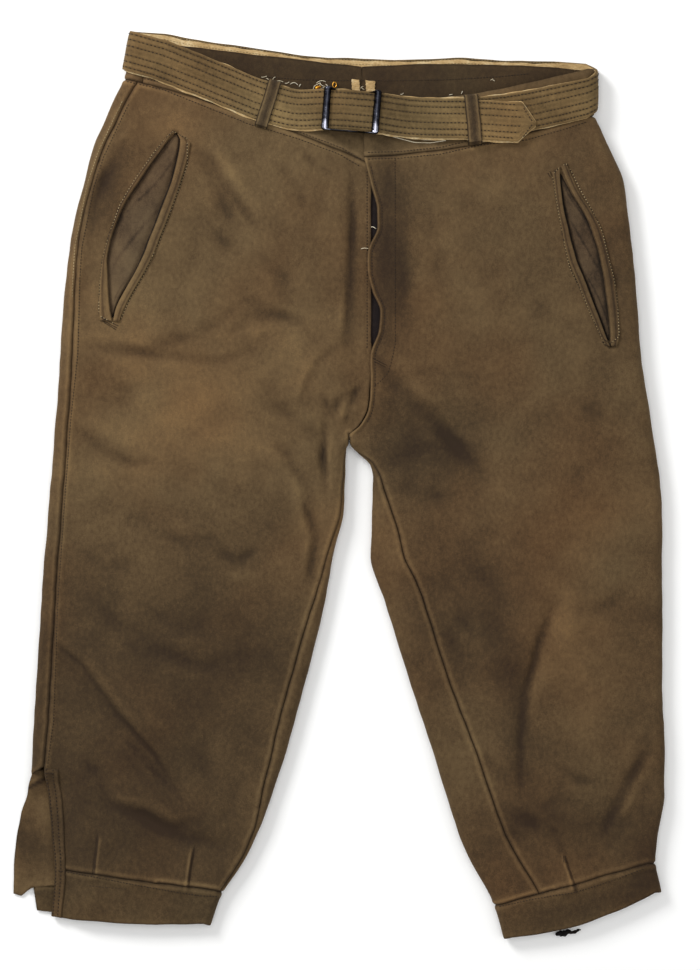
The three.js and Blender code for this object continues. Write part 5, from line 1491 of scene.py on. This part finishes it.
def knee_knot():
    """The knotted end of the knee band: a short dark roll, with a paler end turned over it."""
    centre = np.array(KNOT_CENTRE)
    direction = np.array((math.cos(KNOT_TURN), math.sin(KNOT_TURN), 0))
    k = np.linspace(0, 1, 48)
    sway = np.stack([0 * k, 0.5 * np.sin(k * 9), 0.3 * np.sin(k * 12)], -1)
    thick = np.sin(np.pi * np.clip(k, 0.05, 0.95)) ** 0.4 * (0.88 + 0.12 * np.sin(k * 24))
    roll = tube("knee_knot_band", centre + direction * ((k - 0.62) * 14)[:, None] + sway,
                3.2 * thick, SUEDE_DARK, 14)
    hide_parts("knee_knot_left")
    end = centre + (4.5, 0.4, 1.6) + direction * ((k - 0.3) * 15)[:, None] + sway[:, ::-1]
    tube("knee_knot_end", end, 1.7 * thick, SUEDE_FACING, 12)


# ---------------------------------------------------------------- stitches
PIXEL = 0.93                          # mm of the garment in a pixel of the photograph
ORIGIN_PIXEL = (338, 481.5)           # where the plan's zero lies in the photograph


def from_photo(*pixels):
    """Plan millimetres of places measured in the photograph."""
    return [((x - ORIGIN_PIXEL[0]) * PIXEL, (ORIGIN_PIXEL[1] - y) * PIXEL) for x, y in pixels]


def dropped(x, y, names, above=True):
    """Where a vertical line first meets the named shells, from above or from below, and the normal there."""
    best = None
    start = Vector((x, y, 70 if above else -20))
    way = Vector((0, 0, -1 if above else 1))
    for name in names:
        hit, normal, _, gap = TREES[name].ray_cast(start, way)
        if hit and (best is None or gap < best[2]):
            best = (np.array(hit), np.array(normal), gap)
    return best


def resampled(line, spacing):
    """Points on a line at equal distances."""
    line = np.array(line, float)
    length = lengths_along(line)
    at = np.arange(0, length[-1], spacing)
    return np.column_stack([np.interp(at, length, line[:, k]) for k in range(line.shape[1])])


def strap_at(s):
    """Middle, width and normal of the strap, a length s from its tip."""
    return [np.array([np.interp(s, STRAP_LENGTH, part[:, k]) for k in range(3)]) for part in STRAP_FRAMES]


# Rings of one stitch: share of its length, share of its radius, and mm over the leather.
STITCH_RINGS = ((0, 0.35, -0.2), (0.2, 1, 0.15), (0.8, 1, 0.15), (1, 0.35, -0.2))
STITCH_SIDES = 5


class Stitches:
    """Many stitches in one mesh: each is a short thread whose ends dive into the leather."""

    def __init__(self, name, material, slot="suede", radius=0.3):
        self.name, self.material, self.slot, self.radius = name, material, slot, radius
        self.vertices, self.faces = [], []

    def add(self, start, end, normal):
        """One stitch between two points on leather that has this normal."""
        direction = end - start
        side = np.cross(direction, normal)
        size = np.linalg.norm(side)
        if size < 1e-6:
            return
        side = side / size
        base = len(self.vertices)
        for k, width, rise in STITCH_RINGS:
            centre = start + direction * k + normal * rise
            for angle in np.linspace(0, 2 * math.pi, STITCH_SIDES, endpoint=False):
                around = side * math.cos(angle) + normal * math.sin(angle)
                self.vertices.append(centre + around * self.radius * width)
        self.faces += tube_faces(len(STITCH_RINGS), STITCH_SIDES, base)

    def line(self, points, names, pitch=3.0, fill=0.66, above=True, until=1, shaded_groove=None):
        """A row of stitches dropped onto the named shells along a line in plan, up to a share of it."""
        places = resampled(points, pitch)
        if shaded_groove:
            shaded_groove.furrow_shadow(places, names)
        for number, (a, b) in enumerate(zip(places, places[1:])):
            if number / len(places) >= until:
                break
            end = a + (b - a) * fill + (random.uniform(-0.12, 0.12), random.uniform(-0.12, 0.12))
            first, second = (dropped(*map(float, p), names, above) for p in (a, end))
            if first and second and abs(first[0][2] - second[0][2]) < 1.5:
                self.add(first[0], second[0], first[1] if above else -first[1] * np.sign(first[1][2]))

    def furrow_shadow(self, places, names):
        """A dark line under a row of pale stitches: painted shade in the hollow they sit in."""
        found = [dropped(*map(float, place), names) for place in places]
        for first, second in zip(found, found[1:]):
            if first and second and abs(first[0][2] - second[0][2]) < 1.5:
                self.add(first[0] - first[1] * 0.12, second[0] - first[1] * 0.12, first[1])

    def ribbon(self, offset, s_from, s_to, height, pitch=2.9, fill=0.68, inner=False):
        """A row of stitches along the strap, at an offset from its middle line."""
        for s in np.arange(s_from, s_to, pitch):
            ends = []
            for place in (s, s + pitch * fill):
                middle, width, normal = strap_at(place)
                ends.append(middle + width * (offset + random.uniform(-0.15, 0.15)) + normal * height)
            self.add(*ends, strap_at(s)[2] * (-1 if inner else 1))

    def build(self):
        """Makes the piece, with nothing below the floor."""
        vertices = np.array(self.vertices)
        vertices[:, 2] = np.maximum(vertices[:, 2], 0)
        obj = make_mesh(self.name, vertices, self.faces, self.material)
        return obj


WAIST_SEAM = {
    "right": from_photo((125, 79), (165, 88), (200, 102), (250, 122), (300, 137), (340, 152), (363, 165)),
    "left": from_photo((368, 157), (400, 156), (440, 152), (480, 143), (525, 138), (560, 128), (588, 119)),
}
SIDE_SEAM = from_photo((126, 104), (115, 127), (101.5, 156), (91.5, 186), (85, 219), (79, 249), (77, 282),
                       (76, 324), (75, 355), (68, 420), (62, 500), (55, 600), (50.6, 720), (46, 753),
                       (44, 772))
CUFF_SEAM = {
    "right": from_photo((58, 871), (94, 876), (133, 883.5), (166, 889.5), (199, 895), (219, 896)),
    "left": from_photo((499, 906), (532, 898.5), (555, 894.5), (575, 891.5), (601, 883.5), (624, 875.5),
                       (646, 867)),
}
POCKET_STITCH = {
    "right": [from_photo((188, 141), (188, 166), (174, 206), (160, 243), (146, 273), (131, 299), (121, 321)),
              from_photo((188, 140), (174, 133), (166, 140), (153, 156), (136, 180), (121, 206), (110, 236),
                         (104, 257), (101.5, 274), (100, 299), (100, 316), (118, 326))],
    "left": [from_photo((552, 178), (558, 216), (563, 242), (569, 269), (579, 289), (589, 313), (600, 337),
                        (605, 347)),
             from_photo((551, 177), (557, 170), (565, 165), (571, 173), (579, 190), (592, 213), (601, 232),
                        (606, 254), (612, 276), (616, 297), (618, 337), (606, 347))],
}
BARTACKS = [  # rows of close short stitches
    from_photo((102, 318), (120, 327)), from_photo((103, 321), (119, 329)),
    from_photo((105, 323), (118, 331)), from_photo((549, 172), (551, 177)),
    from_photo((547, 174), (550, 179)), from_photo((603, 340), (611, 346)),
    from_photo((601, 342), (609, 349)), from_photo((373, 359), (387, 366)),
    from_photo((374, 362), (386, 368)), from_photo((563, 855), (563, 862)),
    from_photo((565, 855), (565, 862)), from_photo((43, 772), (55, 773)),
]
FLY_STITCH = from_photo((395, 160), (395, 250), (395, 344), (392, 359), (388, 373), (379, 383), (371.5, 388))
FLY_RIGHT = from_photo((367, 172), (367, 350))


INNER_FACING_SEAM = from_photo((262, 76), (300, 79), (340, 80), (400, 80), (450, 79), (500, 76), (530, 73))
BAND_INSIDES = ["waistband_back_right_inside", "waistband_back_left_inside"]
TOP_LAYER = [f"{piece}_{side}" for piece in ("front", "waistband_front", "cuff", "back", "pocket_welt_inner",
                                             "pocket_welt_outer") for side in SIDES] + ["vent_placket_right"]
UNDER_LAYER = ["back_right", "back_left", "front_left", "waistband_back_right", "waistband_back_left",
               "cuff_right", "cuff_left"]
UNDER_SEAMS = [  # the waist, the right cuff, the left cuff and the left side, below
    [(-195, 368), (-100, 354), (22, 338), (120, 337), (215, 336)],
    [(-270, -372), (-190, -379), (-116, -386)],
    [(156, -395), (220, -378), (290, -360)],
    [(237, 330), (262, 250), (272, 150), (286, 30), (291, -150), (290, -350)],
]


def beside_line(points, distance):
    """A line in plan moved sideways to its left."""
    points = np.array(points, float)
    way = unit(np.gradient(points, axis=0))
    return points + np.column_stack([-way[:, 1], way[:, 0]]) * distance


def top_stitches():
    """The rows that show from above. Each row draws its unevenness in this order."""
    dark = Stitches("stitches_dark_front", THREAD_DARK, radius=0.42)
    gold = Stitches("stitches_gold_front", THREAD_LIGHT, radius=0.42)
    # Dark thread lines under the pocket rows: painted shade in the hollows the stitches sit in.
    shaded_groove = Stitches("stitch_furrows", THREAD_DARK, radius=0.45)
    for side in SIDES:
        dark.line(beside_line(WAIST_SEAM[side], -3.0), TOP_LAYER)
        dark.line(beside_line(WAIST_SEAM[side], 3.2), TOP_LAYER)
        for row in POCKET_STITCH[side]:
            gold.line(row, TOP_LAYER, 2.9, 0.5, shaded_groove=shaded_groove)
        dark.line(CUFF_SEAM[side], TOP_LAYER, 2.8)
    dark.line(beside_line(SIDE_SEAM, 3.4), TOP_LAYER, 2.8)
    gold.line(beside_line(SIDE_SEAM, -3.0), TOP_LAYER, 2.8, until=0.3)
    vent = Stitches("stitches_vent", THREAD_DARK, radius=0.55)
    for row in VENT_ROWS:
        vent.line(row, TOP_LAYER, 3.3, 0.55)
    vent.build()
    for row in BARTACKS:
        dark.line(row, TOP_LAYER, 1.2, 0.8)
    dark.line(FLY_STITCH, TOP_LAYER, 2.9)
    dark.line(INNER_FACING_SEAM, [*BAND_INSIDES, "belt"], 2.9)
    dark.line(FLY_RIGHT, TOP_LAYER, 2.9)
    bead = [(float(fly_x["left"](y)) + 4.4, y) for y in np.linspace(292, 52, 60)]
    dark.line(bead, TOP_LAYER, 2.8)
    for rows in (dark, gold, shaded_groove):
        rows.build()


def belt_stitches():
    """Six rows along the belt, the two slanted rows at its tip, and two rows on its cream inner side."""
    outside = BELT_OUTSIDE + 0.05
    rows = Stitches("stitches_belt", THREAD_DARK, radius=0.44)
    for offset in BELT_ROWS:
        start = 12 + abs(offset) * 0.55
        rows.ribbon(offset, start, STRAP_LENGTH[-1] - 4, outside, 3.5, 0.58)
    z = STRAP_FRONT_Z + BELT_STACK + outside
    for way in (-1, 1):
        slant = np.linspace((179.5, 331.5 + way * 1.5), (171, 332 + way * 14.2), 6)
        for a, b in zip(slant, slant[1:]):
            rows.add(np.array((*a, z)), np.array((*(a + (b - a) * 0.7), z)), UP)
    rows.build()
    cream = Stitches("stitches_cream_edge", THREAD_LIGHT, "cream_leather", 0.3)
    for offset in (12.5, 16.4):
        cream.ribbon(offset, STRAP_LENGTH[-1] * 0.4, STRAP_LENGTH[-1] * 0.75, -0.05, inner=True)
    cream.build()


def back_stitches():
    """Rows on the hidden side: both sides of the centre-back seam, the waist, the cuffs and the left side."""
    rows = Stitches("stitches_back", THREAD_DARK)
    seam = [(lerp(BACK_SEAM_WAIST, BACK_SEAM_CROTCH, k), lerp(338, 46, k)) for k in np.linspace(0, 1, 20)]
    for row in (beside_line(seam, -3.2), beside_line(seam, 3.2), *UNDER_SEAMS):
        rows.line(row, UNDER_LAYER, above=False)
    rows.build()


# ---------------------------------------------------------------- small things inside the waist
THREAD_ENDS = [  # place in the photograph, length in mm, direction
    (264, 76, 5, 0.2), (268, 79, 4, -0.6), (274, 78, 3.5, 0.9), (280, 81, 6, -0.15), (287, 82, 4, 0.3),
    (294, 84, 7, -0.1), (300, 85, 3, 1.0), (317, 84, 7, 0.5), (321, 82, 9, 0.15), (324, 84, 8, -0.35),
    (328, 86, 6, -0.8), (319, 87, 6, 1.1), (323, 88, 5, 0.1), (314, 88, 5, 1.4), (402, 93, 3, 0.4),
    (405, 97, 2.5, 1.5), (419, 97, 3, 0.1), (424, 98, 3, -0.7), (451, 94, 3, 0.2), (462, 92, 2.5, 1.2),
    (492, 79, 2.5, 0.5), (494, 80, 2, -0.6), (362, 87, 3, 0.7), (363, 88, 3, -0.7),
]
CREAM_SLIVERS = [from_photo((376, 133), (390, 137), (414, 143.5), (430, 144), (446, 141.5)),
                 from_photo((378, 132.5), (400, 137.5), (424, 141), (446, 141.3))]
FLY_THREADS = [from_photo((371, 228), (376, 229)), from_photo((361, 250), (370, 249)),
               from_photo((116, 121), (110, 125))]


def thread_ends():
    """Short curved remnants on the inside of the waistband."""
    k = np.linspace(-0.5, 0.5, 10)
    arch = 1 - 4 * k * k
    for px, py, length, angle in THREAD_ENDS:
        (x, y), = from_photo((px, py))
        hit = dropped(x, y, BAND_INSIDES)
        if not hit:
            continue
        bend = random.uniform(-0.25, 0.25) * length * arch
        way, side = (math.cos(angle), math.sin(angle)), (-math.sin(angle), math.cos(angle))
        yield np.stack([x + length * k * way[0] + bend * side[0], y + length * k * way[1] + bend * side[1],
                        hit[0][2] + 0.35 + 0.5 * arch], -1), 0.28


def fly_threads():
    """Two threads at the fly and one at the right side seam."""
    k = np.linspace(0, 1, 8)
    for (x0, y0), (x1, y1) in FLY_THREADS:
        hit = dropped(x0, y0, ["front_left", "front_right", "waistband_front_right"])
        if hit:
            z = hit[0][2] + 0.4 + 0.5 * np.sin(np.pi * k)
            yield np.stack([lerp(x0, x1, k), lerp(y0, y1, k) + 0.5 * np.sin(k * 5), z], -1), 0.3


def cream_slivers():
    """The raw cream edge that shows below the belt, left of the fly."""
    for path in CREAM_SLIVERS:
        line = resampled(path, 1.5)
        z = [dropped(x, y, ["waistband_front_left"])[0][2] + 0.3 for x, y in line.tolist()]
        yield np.column_stack([line, z]), 0.42


def loose_threads():
    """Loose threads, the tuft by the buckle and the remnants along the back's facing seam, in one mesh."""
    vertices, faces = [], []
    for points, radius in (*thread_ends(), *fly_threads(), *cream_slivers()):
        new_vertices, new_faces = round_along(points, radius, 5)
        faces.extend([index + len(vertices) for index in face] for face in new_faces)
        vertices.extend(new_vertices)
    obj = make_mesh("loose_threads", np.array(vertices), faces, THREAD_PALE)


def brass_bit():
    """A bent brass hook and a small ring at the inside of the waistband."""
    (x, y), = from_photo((319, 89))
    k = np.linspace(0, 1, 40)
    turn = 1 + k * 4.9
    hook = np.stack([x + 2.5 * np.cos(turn), y + 2.3 * np.sin(turn), 8.3 + 0.5 * np.sin(k * 6)], -1)
    tube("waist_hook", hook, 1.35, BRASS, 10)
    (x, y), = from_photo((334.5, 84.5))
    ring = np.stack([x + 1.7 * np.cos(k * 6.28), y + 2.4 * np.sin(k * 6.28), 8.0 + 0 * k], -1)
    tube("waist_ring", ring, 0.5, BRASS, 7)


# ---------------------------------------------------------------- the whole
def rounded_rectangle(width, height, corner):
    """Points round a rounded rectangle, the same number for every size."""
    points = []
    for quarter, (sx, sy) in enumerate(((1, 1), (-1, 1), (-1, -1), (1, -1))):
        centre = np.array((sx * (width / 2 - corner), sy * (height / 2 - corner)))
        for k in np.linspace(0, 1, 10):
            angle = math.pi / 2 * (quarter + k)
            points.append(centre + corner * np.array((math.cos(angle), math.sin(angle))))
    closed = np.array([*points, points[0]])
    return np.array([lerp(a, b, k) for a, b in zip(closed, closed[1:]) for k in (0, 0.25, 0.5, 0.75)])


def buckle():
    """The frame: two broad rounded bars and two thin dark rails, in one ring; the top rail is tucked in."""
    bar_edge = BUCKLE_SIZE[0] / 2 - BUCKLE_BAR
    outer = rounded_rectangle(*BUCKLE_SIZE, 3)
    inner = rounded_rectangle(2 * bar_edge, BUCKLE_SIZE[1] - 2 * BUCKLE_RAIL, 1.2)
    profile = [(u, BUCKLE_Z + BUCKLE_HEIGHT * (0.3 + 0.7 * math.sin(math.pi * u) ** 0.6))
               for u in np.linspace(0, 1, 11)]
    profile += [(1, BUCKLE_Z), (0, BUCKLE_Z)]
    cos, sin = math.cos(BUCKLE_TURN), math.sin(BUCKLE_TURN)
    turn = np.array(((cos, -sin), (sin, cos)))
    vertices, tone = [], []
    for a, b in zip(inner, outer):
        for u, z in profile:
            plan = lerp(a, b, u)
            on_bar = float(smoothstep(bar_edge - 1, bar_edge + 1, abs(plan[0])))
            tucked = (1 - on_bar) * (plan[1] > 0)
            x, y = turn @ (plan - (0, BUCKLE_TUCK_IN * tucked)) + (BUCKLE_X, BUCKLE_Y)
            vertices.append((x, y, z - BUCKLE_TUCK_DOWN * tucked))
            # The frame's tone carries painted highlights and glints.
            tone.append(frame_tone(u, plan, on_bar))
    ring, size = len(outer), len(profile)
    faces = [[i * size + k, i * size + (k + 1) % size, (i + 1) % ring * size + (k + 1) % size,
              (i + 1) % ring * size + k] for i in range(ring) for k in range(size)]
    obj = make_mesh("buckle_frame_worn", np.array(vertices), faces, CHROME, tone)
    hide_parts("buckle_frame")


def frame_tone(u, plan, on_bar):
    """Dull grey bars with a painted highlight along their middle, lighter towards their lower ends with a
    painted glint there, and a dark rail with one painted glint below.
    """
    low = 1 - float(smoothstep(-16, 14, plan[1]))
    bar = (0.33 + 0.1 * low + 0.6 * bell(plan[1], -17.6, 1.7)) * bell(u, 0.55, 0.42)
    painted_rail_glint = 0.7 * (plan[1] < 0) * bell(plan[0], -5, 7)
    return 0.1 + on_bar * bar + (1 - on_bar) * painted_rail_glint


def dress_bar():
    """The centre bar keeps its solid's mesh, with the scuffed chrome on it."""
    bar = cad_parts["buckle_bar"]
    bar.data.materials.clear()
    bar.data.materials.append(CHROME)


LIGHTS = {  # place in metres, size in metres, power in watts
    "key": ((-1.5, 1.5, 1.5), 0.9, 52),
    "fill": ((1.7, -0.6, 2.1), 2.0, 12),
    "top": ((0, 0.2, 3.2), 2.4, 34),
}
PHOTO_PIXELS = (700, 970)
LENS, SENSOR = 100, 36                # mm
FOLDS_LEVEL = 0.010                   # metres above the floor, where the photograph's scale holds


def studio():
    """A white floor, a key light from the upper left, and soft light from the other side and above."""
    bpy.ops.mesh.primitive_plane_add(size=8, location=(0, 0, -0.0004))
    floor = bpy.context.object
    floor.name = "floor"
    nodes = Nodes("floor_pale")
    nodes.colour(nodes.ramp(nodes.noise(3, 2), [(0.3, "#f6f6f5"), (0.7, "#fafaf9")]))
    nodes.set(Roughness=0.9)
    floor.data.materials.append(nodes.material)
    for name, (place, size, power) in LIGHTS.items():
        data = bpy.data.lights.new(name, "AREA")
        data.size, data.energy = size, power
        light = bpy.data.objects.new(name, data)
        light.location = place
        light.rotation_euler = (-Vector(place)).to_track_quat("-Z", "Y").to_euler()
        bpy.context.scene.collection.objects.link(light)
    world = bpy.data.worlds.new("studio")
    world.use_nodes = True
    world.node_tree.nodes["Background"].inputs[0].default_value = (1, 1, 1, 1)
    world.node_tree.nodes["Background"].inputs[1].default_value = 0.42
    bpy.context.scene.world = world


def camera():
    """Straight above the middle of the photograph, whose height it sees at the folds' level."""
    data = bpy.data.cameras.new("camera")
    data.lens, data.sensor_fit, data.sensor_height = LENS, "VERTICAL", SENSOR
    view = bpy.data.objects.new("camera", data)
    width, height = PHOTO_PIXELS
    (x, y), = from_photo((width / 2, height / 2))
    distance = height * PIXEL / 1000 / SENSOR * LENS
    view.location = (*metres((x, y, 0))[:2], distance + FOLDS_LEVEL)
    bpy.context.scene.collection.objects.link(view)
    bpy.context.scene.camera = view


SHEETS = {  # width, length and area of each piece's cut in metres, and what it lies on
    "front_right": (0.280, 0.800, 0.171, "back_right"),
    "front_left": (0.330, 0.780, 0.170, "back_left"),
    "back_right": (0.311, 0.793, 0.206, "floor"),
    "back_left": (0.291, 0.777, 0.180, "floor"),
    "waistband_front_right": (0.215, 0.047, 0.0081, "waistband_back_right"),
    "waistband_front_left": (0.262, 0.048, 0.0117, "waistband_back_left"),
    "waistband_back_right": (0.240, 0.048, 0.0104, "belt_backing"),
    "waistband_back_left": (0.205, 0.050, 0.0099, "belt_backing"),
    "cuff_right": (0.400, 0.034, 0.0123, "floor"),
    "cuff_left": (0.395, 0.033, 0.01175, "floor"),
    "pocket_facing_right": (0.056, 0.182, 0.0072, "front_right"),
    "pocket_facing_left": (0.046, 0.170, 0.0051, "front_left"),
    "pocket_welt_inner_right": (0.0125, 0.190, 0.0018, "front_right"),
    "pocket_welt_outer_right": (0.0100, 0.190, 0.00113, "front_right"),
    "pocket_welt_inner_left": (0.0100, 0.172, 0.00124, "front_left"),
    "pocket_welt_outer_left": (0.0115, 0.172, 0.0016, "front_left"),
    "fly_placket": (0.034, 0.182, 0.0058, "front_right"),
    "vent_placket_right": (0.013, 0.142, 0.0018, "front_right"),
    "vent_underlap_right": (0.047, 0.122, 0.0048, "back_right"),
    "belt": (0.0365, 1.13, 0.0410, "floor"),
    "belt_backing": (0.0365, 1.13, 0.0393, "belt"),
    "belt_loop_right": (0.0125, 0.060, 0.00071, "belt"),
    "belt_loop_left": (0.0135, 0.066, 0.00086, "belt"),
}


def declare_sheets():
    """Looks up, for each piece in SHEETS, the pieces that go along with it; nothing more is done with them.
    """
    along_with = {"belt": ["stitches_belt"], "waistband_back_right": ["back_tab_right_leather"],
                  "waistband_back_left": ["back_tab_left_leather"]}
    for name, (width, length, area, below) in SHEETS.items():
        pieces = [bpy.data.objects[other] for other in along_with.get(name, [])]


camera()
for SIDE in SIDES:
    front(SIDE)
    back(SIDE)
    waistband(SIDE)
    cuff(SIDE)
    pocket_welts(SIDE)
    pocket_facing(SIDE)
    belt_loop(SIDE)
    back_tab(SIDE)
fly_placket()
vent_placket()
vent_underlap()
belt()
knee_knot()
top_stitches()
belt_stitches()
back_stitches()
loose_threads()
brass_bit()
buckle()
dress_bar()
studio()
declare_sheets()
